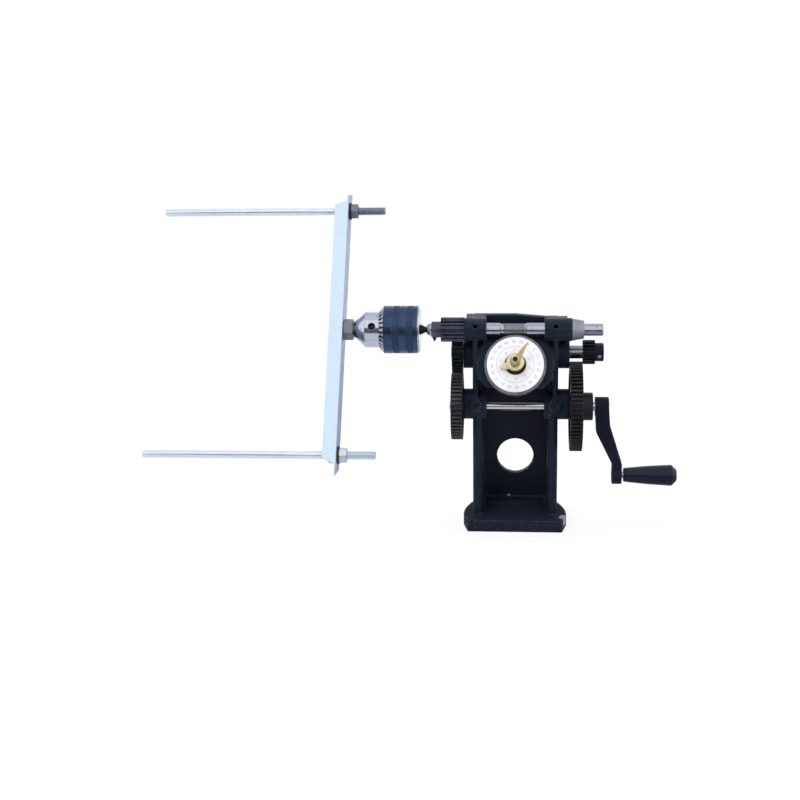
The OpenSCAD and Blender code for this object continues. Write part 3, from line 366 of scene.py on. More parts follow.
@dataclass(frozen=True)
class Finish:
    """A surface finish that becomes one procedural material; its corners' radius is in mm."""

    name: str
    colour: Colour
    round_edge: float

    # Scale of the broad patches
    PATCHES: ClassVar[float]
    # How far the roughness falls and rises about its middle
    WANDER: ClassVar[Span]
    # Strength of the relief, and its depth in mm
    RELIEF: ClassVar[Span]

    def material(self) -> bpy.types.Material:
        """Make the finish's material the first time, and give it.

        Returns:
            The material.
        """
        label = f"coat_{self.name}"
        found = bpy.data.materials.get(label)
        if found is not None:
            return found
        made = bpy.data.materials.new(label)
        sketch = Sketch.blank(made)
        shader = sketch.add("BsdfPrincipled")
        sketch.add("OutputMaterial", {"Surface": shader.outputs[0]})
        self.dress(sketch, shader)
        return made

    def dress(self, sketch: Sketch, shader: bpy.types.Node) -> None:
        """Join the finish's patterns to the shader."""
        raise NotImplementedError

    @staticmethod
    def lay(sketch: Sketch, shader: bpy.types.Node, colour: Socket, rough: Socket,
            metal: object = 0.0) -> None:
        """Join colour, roughness and metal to the shader.

        Args:
            sketch: The material's tree.
            shader: The shader.
            colour: Its colour.
            rough: Its roughness.
            metal: How metallic it is, from 0 to 1.
        """
        for name, value in (("Base Color", colour), ("Roughness", rough), ("Metallic", metal)):
            sketch.plug(shader.inputs[name], value)

    def relief(self, sketch: Sketch, shader: bpy.types.Node, height: Socket, share: float = 1.0) -> None:
        """Round the corners and raise a fine relief on them.

        Args:
            sketch: The material's tree.
            shader: The shader that takes the normal.
            height: Relief pattern.
            share: Share of the finish's usual strength.
        """
        strength, depth = self.RELIEF
        soft = sketch.add("Bevel", {"Radius": self.round_edge * MM}, samples=BEVEL_SAMPLES).outputs[0]
        inputs = {"Height": height, "Strength": strength * share, "Distance": depth * MM, "Normal": soft}
        sketch.plug(shader.inputs["Normal"], sketch.add("Bump", inputs).outputs[0])


@dataclass(frozen=True)
class PaintedIron(Finish):
    """Glossy paint on cast iron, chipped at its corners and speckled with dust.

    Each rub is a place where the paint is gone, with its radius, in mm. The dust lies low on the piece.
    """

    faded: Colour
    bare: Colour
    roughness: float
    gloss: float
    chips: float
    specks: float
    rubs: tuple[tuple[Point, float], ...] = ()
    dust: float = 0.0
    dust_rough: float = 0.0

    PATCHES: ClassVar[float] = 38.0
    WANDER: ClassVar[Span] = (0.07, 0.1)
    RELIEF: ClassVar[Span] = (0.22, 0.25)
    CHIP_WIDTH: ClassVar[float] = 1.1
    CHIP_SCALE: ClassVar[float] = 520.0
    SPECK_SCALE: ClassVar[float] = 620.0
    SPECK_SPAN: ClassVar[Span] = (0.69, 0.75)
    DUST_SCALE: ClassVar[float] = 360.0
    DUST_SPAN: ClassVar[Span] = (0.65, 0.74)
    DUST_TOP: ClassVar[float] = 13.0
    DUST_FADE: ClassVar[float] = 1.5
    RUB_SCALE: ClassVar[float] = 420.0
    RUB_SPAN: ClassVar[Span] = (1.45, 1.3)
    BARE_METAL: ClassVar[float] = 0.8
    SKIN_SCALE: ClassVar[float] = 900.0

    def dress(self, sketch: Sketch, shader: bpy.types.Node) -> None:
        """Join the paint's patches, chips, dust and cast skin to the shader.

        Args:
            sketch: The material's tree.
            shader: Its shader.
        """
        place = sketch.place()
        broad, fine = Effects.mottle(sketch, place, self.PATCHES)
        height = sketch.split(place)[2]
        low = sketch.span(height, self.DUST_TOP * MM, (self.DUST_TOP - self.DUST_FADE) * MM)
        lost = self.lost(sketch, place, low)
        paint = sketch.blend(broad, self.colour, self.faded)
        rough = sketch.calc("ADD", sketch.vary(fine, self.roughness, *self.WANDER),
                            sketch.calc("MULTIPLY", low, self.dust_rough), clamp=True)
        metal = sketch.calc("MULTIPLY", lost, self.BARE_METAL)
        self.lay(sketch, shader, sketch.blend(lost, paint, self.bare), rough, metal)
        shader.inputs["Specular IOR Level"].default_value = self.gloss
        skin = sketch.noise(place, self.SKIN_SCALE, detail=2.0)
        self.relief(sketch, shader, sketch.calc("SUBTRACT", skin, lost))

    def lost(self, sketch: Sketch, place: Socket, low: Socket) -> Socket:
        """Mask what shows through or lies on the paint.

        Args:
            sketch: The material's tree.
            place: Where it is read.
            low: Mask of the dusty height.

        Returns:
            The mask of chips, specks, dust and rubs.
        """
        corners_lost = Effects.edge_rub(sketch, place, self.CHIP_WIDTH, self.CHIP_SCALE)
        specks = sketch.span(sketch.noise(place, self.SPECK_SCALE, detail=2.0), *self.SPECK_SPAN)
        dust = sketch.span(sketch.noise(place, self.DUST_SCALE), *self.DUST_SPAN, 0.0, self.dust)
        lost = sketch.calc("MULTIPLY", corners_lost, self.chips)
        lost = sketch.calc("MAXIMUM", lost, sketch.calc("MULTIPLY", specks, self.specks))
        lost = sketch.calc("MAXIMUM", lost, sketch.calc("MULTIPLY", dust, low))
        for centre, radius in self.rubs:
            middle = tuple(value * MM for value in centre)
            away = sketch.add("VectorMath", {0: place, 1: middle}, operation="DISTANCE").outputs["Value"]
            waver = sketch.calc("MULTIPLY", sketch.noise(place, self.RUB_SCALE), radius * MM)
            edge = (radius * MM * share for share in self.RUB_SPAN)
            lost = sketch.calc("MAXIMUM", lost, sketch.span(sketch.calc("ADD", away, waver), *edge))
        return lost


@dataclass(frozen=True)
class CutSteel(Finish):
    """Machined steel with broad oil stains, and bright corners that stand for wear and, on gear teeth, for
    painted highlight.
    """

    stain: Colour
    bright: Colour
    roughness: float = 0.42
    metal: float = 0.85
    # Width and share of the bright corners: wear, and on gear teeth also painted highlight
    rub_width: float = 0.3
    rub: float = 0.6

    PATCHES: ClassVar[float] = 75.0
    WANDER: ClassVar[Span] = (0.08, 0.1)
    RELIEF: ClassVar[Span] = (0.15, 0.15)
    RUB_SCALE: ClassVar[float] = 260.0
    TOOL_MARKS: ClassVar[float] = 1500.0

    def dress(self, sketch: Sketch, shader: bpy.types.Node) -> None:
        """Join the steel's stains, bright corners (wear, and painted highlight on gear teeth) and tool marks
        to the shader.

        Args:
            sketch: The material's tree.
            shader: Its shader.
        """
        place = sketch.place()
        broad, fine = Effects.mottle(sketch, place, self.PATCHES)
        corner_mask = Effects.edge_rub(sketch, place, self.rub_width, self.RUB_SCALE)
        worn_and_glint = sketch.calc("MULTIPLY", corner_mask, self.rub)
        steel = sketch.blend(broad, self.colour, self.stain)
        rough = sketch.vary(fine, self.roughness, *self.WANDER)
        self.lay(sketch, shader, sketch.blend(worn_and_glint, steel, self.bright), rough, self.metal)
        self.relief(sketch, shader, sketch.noise(place, self.TOOL_MARKS, detail=2.0))


@dataclass(frozen=True)
class GearSteel(CutSteel):
    """Oiled gear steel whose tooth corners carry bright wear and painted highlight."""

    rub_width: float = 0.35
    rub: float = 0.75


@dataclass(frozen=True)
class TurnedSteel(Finish):
    """Steel turned on a lathe about a centre in mm: fine rings, a few stains, and painted shade over some
    lengths.
    """

    stain: Colour
    roughness: float
    centre: Point
    lines: float = 0.25
    oiled: tuple[Span, ...] = ()

    PATCHES: ClassVar[float] = 60.0
    WANDER: ClassVar[Span] = (0.16, 0.1)
    RELIEF: ClassVar[Span] = (0.12, 0.08)
    RING_SCALE: ClassVar[float] = 3200.0
    RING_SPAN: ClassVar[Span] = (0.3, 0.7)
    STAIN_SCALE: ClassVar[float] = 170.0
    STAIN_SPAN: ClassVar[Span] = (0.56, 0.72)
    STAIN_SHARE: ClassVar[float] = 0.75
    SMOOTHER: ClassVar[float] = 0.12

    def dress(self, sketch: Sketch, shader: bpy.types.Node) -> None:
        """Join the turned rings, stains and oiled lengths to the shader.

        Args:
            sketch: The material's tree.
            shader: Its shader.
        """
        place = sketch.place(self.centre)
        broad, _ = Effects.mottle(sketch, place, self.PATCHES)
        rings = Effects.lathe_lines(sketch, place, self.RING_SCALE)
        by_ring, by_patch = self.WANDER
        wander = sketch.calc("ADD", sketch.calc("MULTIPLY", rings, by_ring),
                             sketch.calc("MULTIPLY", broad, by_patch))
        rough = sketch.calc("ADD", wander, self.roughness - self.SMOOTHER, clamp=True)
        self.lay(sketch, shader, self.skin(sketch, place, rings), rough, 1.0)
        self.relief(sketch, shader, rings)

    def skin(self, sketch: Sketch, place: Socket, rings: Socket) -> Socket:
        """Give the colour of the turned skin.

        Args:
            sketch: The material's tree.
            place: Where it is read.
            rings: The turned rings.

        Returns:
            The colour.
        """
        spots = sketch.noise(place, self.STAIN_SCALE, detail=5.0, rough=0.7)
        stained = sketch.span(spots, *self.STAIN_SPAN, 0.0, self.STAIN_SHARE)
        steel = sketch.blend(stained, self.colour, self.stain)
        skin = sketch.blend(sketch.span(rings, *self.RING_SPAN, 0.0, self.lines), steel, self.stain)
        along = sketch.split(place)[0]
        # Painted shade over each listed length
        for left, right in self.oiled:
            skin = sketch.blend(sketch.between(along, left * MM, right * MM), skin, PAINTED_SHADE_COLOUR)
        return skin


@dataclass(frozen=True)
class BoredSteel(TurnedSteel):
    """Turned steel with holes through its skin, with painted shade inside them; the skin's radius and its
    ends are in mm.
    """

    skin_radius: float = 15.9
    left: float = -135.5
    right: float = -124.0

    FADE: ClassVar[float] = 0.8

    def skin(self, sketch: Sketch, place: Socket, rings: Socket) -> Socket:
        """Give the turned skin's colour, with painted shade below the skin in the holes.

        Args:
            sketch: The material's tree.
            place: Where it is read.
            rings: The turned rings.

        Returns:
            The colour.
        """
        along, across, above = sketch.split(place)
        below = (self.skin_radius - self.FADE) * MM
        deep = sketch.span(sketch.reach(across, above), self.skin_radius * MM, below)
        # Painted shade inside the holes, in the stain colour
        hole_shade = sketch.calc("MULTIPLY", deep, sketch.between(along, self.left * MM, self.right * MM))
        return sketch.blend(hole_shade, super().skin(sketch, place, rings), self.stain)


@dataclass(frozen=True)
class BluedSleeve(Finish):
    """Blued steel whose toothed end is left bright; the teeth end at front and are toe long, in mm."""

    bright: Colour
    roughness: float
    front: float
    toe: float
    teeth: int = 30
    wide_gap: float = 0.36
    narrow_gap: float = 0.08

    PATCHES: ClassVar[float] = 90.0
    WANDER: ClassVar[Span] = (0.05, 0.09)
    RELIEF: ClassVar[Span] = (0.1, 0.08)
    RUB_WIDTH: ClassVar[float] = 0.5
    RUB_SCALE: ClassVar[float] = 300.0
    RUB_SHARE: ClassVar[float] = 0.3
    PATCH_SHARE: ClassVar[float] = 0.06
    RING_SCALE: ClassVar[float] = 2600.0
    FADE: ClassVar[float] = 0.1
    GAP_FADE: ClassVar[float] = 0.04
    METAL: ClassVar[float] = 0.85

    def dress(self, sketch: Sketch, shader: bpy.types.Node) -> None:
        """Join the blued skin, the bright teeth and the painted shade in their grooves to the shader.

        Args:
            sketch: The material's tree.
            shader: Its shader.
        """
        place = sketch.place(SPINDLE_AXIS)
        broad, fine = Effects.mottle(sketch, place, self.PATCHES)
        corner_mask = Effects.edge_rub(sketch, place, self.RUB_WIDTH, self.RUB_SCALE)
        along, across, above = sketch.split(place)
        ahead = sketch.span(along, (self.front + self.FADE) * MM, (self.front - self.FADE) * MM)
        # Painted shade darkens the grooves between the bright teeth
        groove_shade_mask = sketch.calc("MULTIPLY", ahead, self.grooves(sketch, along, across, above))
        clean = sketch.calc("MAXIMUM", ahead, sketch.calc("MULTIPLY", corner_mask, self.RUB_SHARE))
        blued = sketch.blend(sketch.calc("MULTIPLY", broad, self.PATCH_SHARE), self.colour, self.bright)
        colour = sketch.blend(groove_shade_mask, sketch.blend(clean, blued, self.bright), PAINTED_SHADE_COLOUR)
        self.lay(sketch, shader, colour, sketch.vary(fine, self.roughness, *self.WANDER), self.METAL)
        self.relief(sketch, shader, Effects.lathe_lines(sketch, place, self.RING_SCALE))

    def grooves(self, sketch: Sketch, along: Socket, across: Socket, above: Socket) -> Socket:
        """Mask the painted shade in the grooves between the teeth, wide at the toe and narrow at the front.

        Args:
            sketch: The material's tree.
            along: The place's X part.
            across: Its Y part.
            above: Its Z part.

        Returns:
            The mask.
        """
        angle = sketch.calc("ARCTAN2", across, above)
        turn = sketch.calc("ADD", sketch.calc("MULTIPLY", angle, self.teeth / math.tau), 0.5)
        aside = sketch.calc("ABSOLUTE", sketch.calc("SUBTRACT", sketch.calc("FRACT", turn), 0.5))
        toe = (self.front - self.toe) * MM
        half = sketch.span(along, toe, self.front * MM, self.wide_gap, self.narrow_gap)
        return sketch.span(sketch.calc("SUBTRACT", aside, half), self.GAP_FADE, -self.GAP_FADE)


@dataclass(frozen=True)
class Galvanised(Finish):
    """Zinc coat with its crystal patches, fine grit and painted shade.

    The painted shade starts at a given place along X, in mm, and fades to a given share of its strength low
    down.
    """

    dull: Colour
    roughness: float
    crystal: float
    grain: float
    handled: Colour
    handled_from: float
    low_share: float

    PATCHES: ClassVar[float] = 45.0
    WANDER: ClassVar[Span] = (0.06, 0.1)
    RELIEF: ClassVar[Span] = (0.1, 0.12)
    CRYSTAL_SHARE: ClassVar[float] = 0.55
    PATCH_SHARE: ClassVar[float] = 0.45
    CRYSTAL_RELIEF: ClassVar[float] = 0.4
    HANDLED_FADE: ClassVar[float] = 0.6
    # Heights, in mm, between which the painted shade rises from its low share to full strength
    LOW: ClassVar[float] = 100.0
    HIGH: ClassVar[float] = 150.0
    METAL: ClassVar[float] = 0.8

    def dress(self, sketch: Sketch, shader: bpy.types.Node) -> None:
        """Join the zinc crystals, grit and painted shade to the shader.

        Args:
            sketch: The material's tree.
            shader: Its shader.
        """
        place = sketch.place()
        broad, fine = Effects.mottle(sketch, place, self.PATCHES)
        cells = sketch.add("TexVoronoi", {"Vector": place, "Scale": self.crystal}).outputs["Color"]
        crystal = sketch.add("SeparateColor", {"Color": cells}).outputs[0]
        shade = sketch.calc("ADD", sketch.calc("MULTIPLY", crystal, self.CRYSTAL_SHARE * self.grain),
                            sketch.calc("MULTIPLY", broad, self.PATCH_SHARE))
        along, _, above = sketch.split(place)
        # Painted shade: darker past a given place along X, and weaker low down
        beyond = sketch.span(along, self.handled_from * MM, (self.handled_from + self.HANDLED_FADE) * MM)
        share = sketch.span(above, self.LOW * MM, self.HIGH * MM, self.low_share, 1.0)
        zinc = sketch.blend(shade, self.colour, self.dull)
        colour = sketch.blend(sketch.calc("MULTIPLY", beyond, share), zinc, self.handled)
        self.lay(sketch, shader, colour, sketch.vary(shade, self.roughness, *self.WANDER), self.METAL)
        grit = sketch.calc("ADD", fine, sketch.calc("MULTIPLY", crystal, self.CRYSTAL_RELIEF))
        self.relief(sketch, shader, grit, self.grain)


@dataclass(frozen=True)
class Enamel(Finish):
    """A thin white enamel with faint yellowing and dust."""

    aged: Colour
    roughness: float

    PATCHES: ClassVar[float] = 80.0
    WANDER: ClassVar[Span] = (0.06, 0.08)
    RELIEF: ClassVar[Span] = (0.05, 0.05)
    PATCH_SHARE: ClassVar[float] = 0.4
    DUST_SCALE: ClassVar[float] = 900.0
    DUST_SPAN: ClassVar[Span] = (0.68, 0.78)
    DUST_SHARE: ClassVar[float] = 0.4
    GLOSS: ClassVar[float] = 0.15

    def dress(self, sketch: Sketch, shader: bpy.types.Node) -> None:
        """Join the enamel's yellowing and dust to the shader.

        Args:
            sketch: The material's tree.
            shader: Its shader.
        """
        place = sketch.place()
        broad, fine = Effects.mottle(sketch, place, self.PATCHES)
        specks = sketch.noise(place, self.DUST_SCALE, detail=2.0)
        dust = sketch.span(specks, *self.DUST_SPAN, 0.0, self.DUST_SHARE)
        shade = sketch.calc("MAXIMUM", sketch.calc("MULTIPLY", broad, self.PATCH_SHARE), dust)
        colour = sketch.blend(shade, self.colour, self.aged)
        self.lay(sketch, shader, colour, sketch.vary(fine, self.roughness, *self.WANDER))
        shader.inputs["Specular IOR Level"].default_value = self.GLOSS
        self.relief(sketch, shader, fine)


class Shop:
    """The finishes of the winder; each gives its name, its colour and its corners' radius in mm first."""

    CASTING = PaintedIron("black_enamel", tint(23, 30, 42), 4.0, faded=tint(28, 35, 49),
                          bare=tint(176, 178, 182), roughness=0.34, gloss=0.09, chips=0.35, specks=0.1,
                          rubs=(((46.6, -23.5, 9.0), 7.0), ((-6.0, 29.5, 13.0), 1.5)),
                          dust=0.2, dust_rough=0.35)
    ARM = PaintedIron("arm_enamel", tint(19, 23, 37), 0.6, faded=tint(24, 28, 42), bare=tint(120, 122, 130),
                      roughness=0.3, gloss=0.07, chips=0.3, specks=0.12)
    GRIP = PaintedIron("grip_lacquer", tint(19, 22, 38), 0.5, faded=tint(22, 25, 42), bare=tint(60, 60, 72),
                       roughness=0.14, gloss=0.24, chips=0.12, specks=0.05)
    # Painted light: a lighter copy of the gear steel, to make up for the shade that falls on the left gear
    GEAR = GearSteel("oiled_gear_painted_light", tint(84, 82, 93), 0.25, stain=tint(60, 58, 66), bright=tint(146, 142, 149))
    DARK_GEAR = GearSteel("dark_gear", tint(60, 57, 63), 0.25, stain=tint(43, 41, 45),
                          bright=tint(126, 122, 128))
    LAY_GEAR = GearSteel("lay_gear_steel", tint(40, 45, 60), 0.25, stain=tint(29, 32, 43),
                         bright=tint(96, 100, 114))
    PINION = CutSteel("oiled_pinion", tint(92, 98, 116), 0.25, stain=tint(62, 66, 78),
                      bright=tint(140, 143, 153))
    WHEEL = CutSteel("worm_wheel", tint(120, 121, 131), 0.15, stain=tint(96, 97, 105),
                     bright=tint(206, 207, 213), metal=0.9, rub_width=0.7, rub=0.95)
    SCREW = CutSteel("black_screw", tint(34, 34, 38), 0.2, stain=tint(26, 25, 27), bright=tint(90, 90, 94),
                     metal=0.8, rub=0.4)
    WASHER = CutSteel("dark_washer", tint(70, 72, 80), 0.2, stain=tint(50, 51, 57),
                      bright=tint(120, 122, 130), roughness=0.45)
    RING = CutSteel("brown_ring", tint(48, 38, 30), 0.2, stain=tint(34, 27, 22), bright=tint(96, 82, 64),
                    roughness=0.45, metal=0.6, rub_width=0.25, rub=0.3)
    JAW = CutSteel("jaw_steel", tint(88, 88, 92), 0.2, stain=tint(58, 57, 60), bright=tint(150, 150, 152),
                   roughness=0.35, metal=0.95)
    # Painted shade: the bushes are near black so that the oil holes over them read dark
    BRONZE = CutSteel("bush_bronze_painted_shade", tint(30, 26, 22), 0.2, stain=tint(22, 19, 17), bright=tint(70, 60, 46),
                      roughness=0.4, metal=0.9, rub=0.3)
    BRASS = CutSteel("aged_brass", tint(210, 190, 136), 0.3, stain=tint(170, 150, 100),
                     bright=tint(240, 231, 202), roughness=0.3, metal=0.95, rub_width=0.35, rub=0.7)
    PALE_BRASS = CutSteel("pale_brass", tint(242, 229, 196), 0.3, stain=tint(208, 190, 150),
                          bright=tint(249, 244, 228), roughness=0.24, metal=0.95, rub_width=0.35, rub=0.7)
    POST = CutSteel("post_bronze", tint(106, 90, 72), 0.3, stain=tint(68, 57, 45), bright=tint(160, 141, 114),
                    roughness=0.35, metal=0.9, rub=0.5)
    KNURL = CutSteel("blued_knurl", tint(58, 77, 107), 0.1, stain=tint(48, 64, 92), bright=tint(84, 102, 132),
                     roughness=0.45, rub_width=0.2, rub=0.4)
    # Painted shade darkens the two lengths listed last, from 30.2 to 46.5 mm each side of the middle
    SPINDLE = TurnedSteel("spindle_steel", tint(190, 194, 204), 0.3, stain=tint(128, 130, 138),
                          roughness=0.15, centre=SPINDLE_AXIS, lines=0.2,
                          oiled=((-46.5, -30.2), (30.2, 46.5)))
    SHAFT = TurnedSteel("crank_steel", tint(222, 222, 222), 0.3, stain=tint(156, 156, 156), roughness=0.12,
                        centre=(0.0, 0.0, 110.75))
    LAY = TurnedSteel("lay_steel", tint(154, 157, 166), 0.3, stain=tint(104, 105, 111), roughness=0.2,
                      centre=(0.0, 16.5, 157.95))
    PIN = TurnedSteel("pin_steel", tint(186, 186, 190), 0.3, stain=tint(110, 110, 113), roughness=0.3,
                      centre=(0.0, 0.0, 44.75))
    COLLAR = TurnedSteel("collar_steel", tint(172, 174, 186), 0.3, stain=tint(140, 142, 153), roughness=0.5,
                         centre=SPINDLE_AXIS)
    WORM = TurnedSteel("worm_steel", tint(142, 147, 157), 0.12, stain=tint(74, 77, 83), roughness=0.34,
                       centre=SPINDLE_AXIS, lines=0.4)
    # Its stain colour is also the painted shade inside the key holes
    CHROME = BoredSteel("chuck_bright", tint(212, 216, 227), 0.4, stain=tint(40, 41, 46), roughness=0.16,
                        centre=SPINDLE_AXIS, lines=0.05)
    # Painted shade on the zinc: the bar leg's side facing +X, the rods' threaded ends, and the nuts and bolt
    # high up
    BAR = Galvanised("zinc_bar", tint(202, 226, 246), 0.3, dull=tint(218, 232, 245), roughness=0.4,
                     crystal=160.0, grain=1.0, handled=tint(160, 172, 197),
                     handled_from=-157.3, low_share=1.0)
    ROD = Galvanised("zinc_rod", tint(232, 241, 250), 0.3, dull=tint(212, 223, 238), roughness=0.24,
                     crystal=60.0, grain=0.25, handled=tint(164, 169, 184),
                     handled_from=-155.0, low_share=0.15)
    NUT = Galvanised("zinc_nut", tint(232, 237, 244), 0.35, dull=tint(200, 206, 214), roughness=0.34,
                     crystal=380.0, grain=0.8, handled=tint(124, 131, 142),
                     handled_from=-400.0, low_share=0.1)
    DIAL = Enamel("dial_enamel", tint(232, 231, 235), 0.2, aged=tint(227, 226, 229), roughness=0.34)
    INK = Enamel("dial_ink", tint(164, 161, 164), 0.05, aged=tint(186, 182, 182), roughness=0.5)
    RED_INK = Enamel("dial_red_ink", tint(186, 170, 170), 0.05, aged=tint(202, 186, 184), roughness=0.5)

    @staticmethod
    def sleeve(front: float, toe: float) -> BluedSleeve:
        """Give the sleeve's finish for the place where its bright teeth end and their length, in mm."""
        return BluedSleeve("blued_sleeve", tint(50, 68, 99), 0.3, bright=tint(190, 193, 203), roughness=0.2,
                           front=front, toe=toe)


class Shaper:
    """Mesh steps that several pieces share."""

    HEX_STEPS: ClassVar[int] = 72
    CHAMFER_STEPS: ClassVar[int] = 5
    CHAMFER_FACE: ClassVar[float] = 0.97
    CHAMFER_SLOPE: ClassVar[float] = 0.55
    BORE_LIP: ClassVar[float] = 0.5

    @staticmethod
    def loop(shape: bmesh.types.BMesh, points: Iterable[Sequence[float]], closed: bool) -> list:
        """Draw a line of edges.

        Args:
            shape: The mesh that takes it.
            points: Its points in metres.
            closed: Join the last point to the first.

        Returns:
            The new vertices and edges.
        """
        verts = [shape.verts.new(point) for point in points]
        edges = [shape.edges.new(pair) for pair in zip(verts, verts[1:])]
        if closed:
            edges.append(shape.edges.new((verts[-1], verts[0])))
        return verts + edges

    @staticmethod
    def ridge(root: float, crest: float, foot: float, top: float) -> Profile:
        """Give a thread's ridge from its two radii and its half widths at foot and top, in mm."""
        return [(-foot, root), (-top, crest), (top, crest), (foot, root)]

    @classmethod
    def turned(cls, shape: bmesh.types.BMesh, profile: Profile, centre: Point, axis: Axis, steps: int,
               closed: bool = False) -> list[bmesh.types.BMVert]:
        """Spin a profile into a turned body.

        Args:
            shape: The mesh that takes it.
            profile: Points along the axis and out from it, in mm.
            centre: A point on the axis, in mm.
            axis: Direction of the axis.
            steps: Faces round the body.
            closed: The profile is a loop that doesn't touch the axis.

        Returns:
            The body's vertices.
        """
        before = set(shape.verts)
        if axis is Axis.X:
            points = [(along * MM, centre[1] * MM, (centre[2] + out) * MM) for along, out in profile]
            pole = Vector((1.0, 0.0, 0.0))
        else:
            points = [(centre[0] * MM, along * MM, (centre[2] + out) * MM) for along, out in profile]
            pole = Vector((0.0, 1.0, 0.0))
        line = cls.loop(shape, points, closed)
        bmesh.ops.spin(shape, geom=line, cent=Vector(centre) * MM, axis=pole, dvec=(0.0, 0.0, 0.0),
                       angle=math.tau, steps=steps, use_merge=True)
        made = [vert for vert in shape.verts if vert not in before]
        bmesh.ops.remove_doubles(shape, verts=made, dist=WELD)
        return [vert for vert in shape.verts if vert not in before]

    @classmethod
    def coil(cls, shape: bmesh.types.BMesh, section: Profile, start: float, end: float, pitch: float,
             centre: Point, phase: float, steps: int) -> None:
        """Wind a ridge round the X direction, right handed, with run-out ends.

        Args:
            shape: The mesh that takes it.
            section: Ridge points along and out from the axis, in mm.
            start: Where the ridge starts along X, in mm.
            end: Where it ends, in mm.
            pitch: Advance for each turn, in mm.
            centre: A point on the axis, in mm.
            phase: Angle at which the ridge starts, in radians.
            steps: Faces in each turn.
        """
        root = min(out for _, out in section)
        count = round((end - start) / pitch * steps)
        points = [((start + along) * MM, centre[1] * MM, (centre[2] + out) * MM) for along, out in section]
        line = cls.loop(shape, points, True)
        first = [item for item in line if isinstance(item, bmesh.types.BMVert)]
        rim = [item for item in line if isinstance(item, bmesh.types.BMEdge)]
        axis = Vector(centre) * MM
        bmesh.ops.rotate(shape, verts=first, cent=axis, matrix=Matrix.Rotation(phase, 3, "X"))
        wound = bmesh.ops.spin(shape, geom=line, cent=axis, axis=(1.0, 0.0, 0.0),
                               dvec=(pitch / steps * MM, 0.0, 0.0), angle=math.tau * count / steps,
                               steps=count)
        last = [item for item in wound["geom_last"] if isinstance(item, bmesh.types.BMVert)]
        far_rim = [item for item in wound["geom_last"] if isinstance(item, bmesh.types.BMEdge)]
        for vert in first + last:
            out = Vector((0.0, vert.co.y - axis.y, vert.co.z - axis.z))
            vert.co = Vector((vert.co.x, axis.y, axis.z)) + out.normalized() * root * MM
        bmesh.ops.edgeloop_fill(shape, edges=rim)
        bmesh.ops.edgeloop_fill(shape, edges=far_rim)

    @classmethod
    def hexagon(cls, shape: bmesh.types.BMesh, ends: Span, flats: float, bore: float, centre: Point,
                turn: float) -> None:
        """Make a hexagon nut or bolt head with both ends chamfered.

        Args:
            shape: The mesh that takes it.
            ends: Its left and right ends along X, in mm.
            flats: Width across flats, in mm.
            bore: Radius of its hole, in mm; 0 for a solid head.
            centre: A point on its axis, in mm.
            turn: Angle of its first corner from straight up, in radians.
        """
        start, end = ends
        face = flats / 2.0 * cls.CHAMFER_FACE
        depth = flats / math.sqrt(3.0) - face
        rise = [step / cls.CHAMFER_STEPS for step in range(cls.CHAMFER_STEPS + 1)]
        cone = [(start + depth * cls.CHAMFER_SLOPE * part, face + depth * part) for part in rise]
        back = [(start + end - along, out) for along, out in reversed(cone)]
        bored = bore > 0.0
        if bored:
            lip = bore + cls.BORE_LIP
            inner = [(end, lip), (end - cls.BORE_LIP, bore), (start + cls.BORE_LIP, bore), (start, lip)]
            profile = cone + back + inner
        else:
            profile = [(start, 0.0)] + cone + back + [(end, 0.0)]
        verts = cls.turned(shape, profile, centre, Axis.X, cls.HEX_STEPS, bored)
        axis = Vector(centre) * MM
        half_side = math.pi / 6.0
        for vert in verts:
            out = Vector((vert.co.y - axis.y, vert.co.z - axis.z))
            angle = math.atan2(out.x, out.y) - turn
            folded = (angle + half_side) % (2.0 * half_side) - half_side
            limit = flats / 2.0 * MM / math.cos(half_side - abs(folded))
            if out.length > limit:
                out = out.normalized() * limit
                vert.co = Vector((vert.co.x, axis.y + out.x, axis.z + out.y))

    @staticmethod
    def closed_mesh(shape: bmesh.types.BMesh, name: str, smooth: float) -> bpy.types.Mesh:
        """Turn a finished shape into a mesh with outward faces.

        Args:
            shape: The finished shape, which is freed.
            name: Name of the mesh.
            smooth: Largest angle between faces that shade as one, in degrees.

        Returns:
            The mesh.
        """
        bmesh.ops.remove_doubles(shape, verts=shape.verts, dist=WELD)
        bmesh.ops.recalc_face_normals(shape, faces=shape.faces)
        mesh = bpy.data.meshes.new(name)
        limit = math.radians(smooth)
        for edge in shape.edges:
            edge.smooth = edge.is_manifold and edge.calc_face_angle(0.0) < limit
        for face in shape.faces:
            face.smooth = True
        shape.to_mesh(mesh)
        shape.free()
        return mesh


@dataclass
class Assembly:
    """A group of pieces of the winder that do one job; its sizes are in mm and its angles in degrees."""

    nodes: dict[str, bpy.types.Object]

    def coat(self, finish: Finish, *names: str) -> None:
        """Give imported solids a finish.

        Args:
            finish: The finish.
            names: The solids' names.
        """
        for name in names:
            solid = self.nodes[name]
            if not solid.material_slots:
                solid.data.materials.append(finish.material())
            for slot in solid.material_slots:
                slot.material = finish.material()
            LOG.info("coated %s with %s", name, finish.name)

    def piece(self, name: str, shape: bmesh.types.BMesh, finish: Finish, body: str, slot: str,
              stands_for: Sequence[str] = (), smooth: float = 32.0) -> bpy.types.Object:
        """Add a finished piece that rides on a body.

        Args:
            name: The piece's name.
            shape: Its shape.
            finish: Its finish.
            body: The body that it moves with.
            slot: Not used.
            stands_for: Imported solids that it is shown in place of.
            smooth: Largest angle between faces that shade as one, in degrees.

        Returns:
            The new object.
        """
        made = bpy.data.objects.new(name, Shaper.closed_mesh(shape, name, smooth))
        bpy.context.scene.collection.objects.link(made)
        made.data.materials.append(finish.material())
        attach(made, body)
        if stands_for:
            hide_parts(*stands_for)
        LOG.info("built %s: %d faces on %s", name, len(made.data.polygons), body)
        return made

    def build(self) -> None:
        """Build the group's pieces and coat its solids."""
        raise NotImplementedError


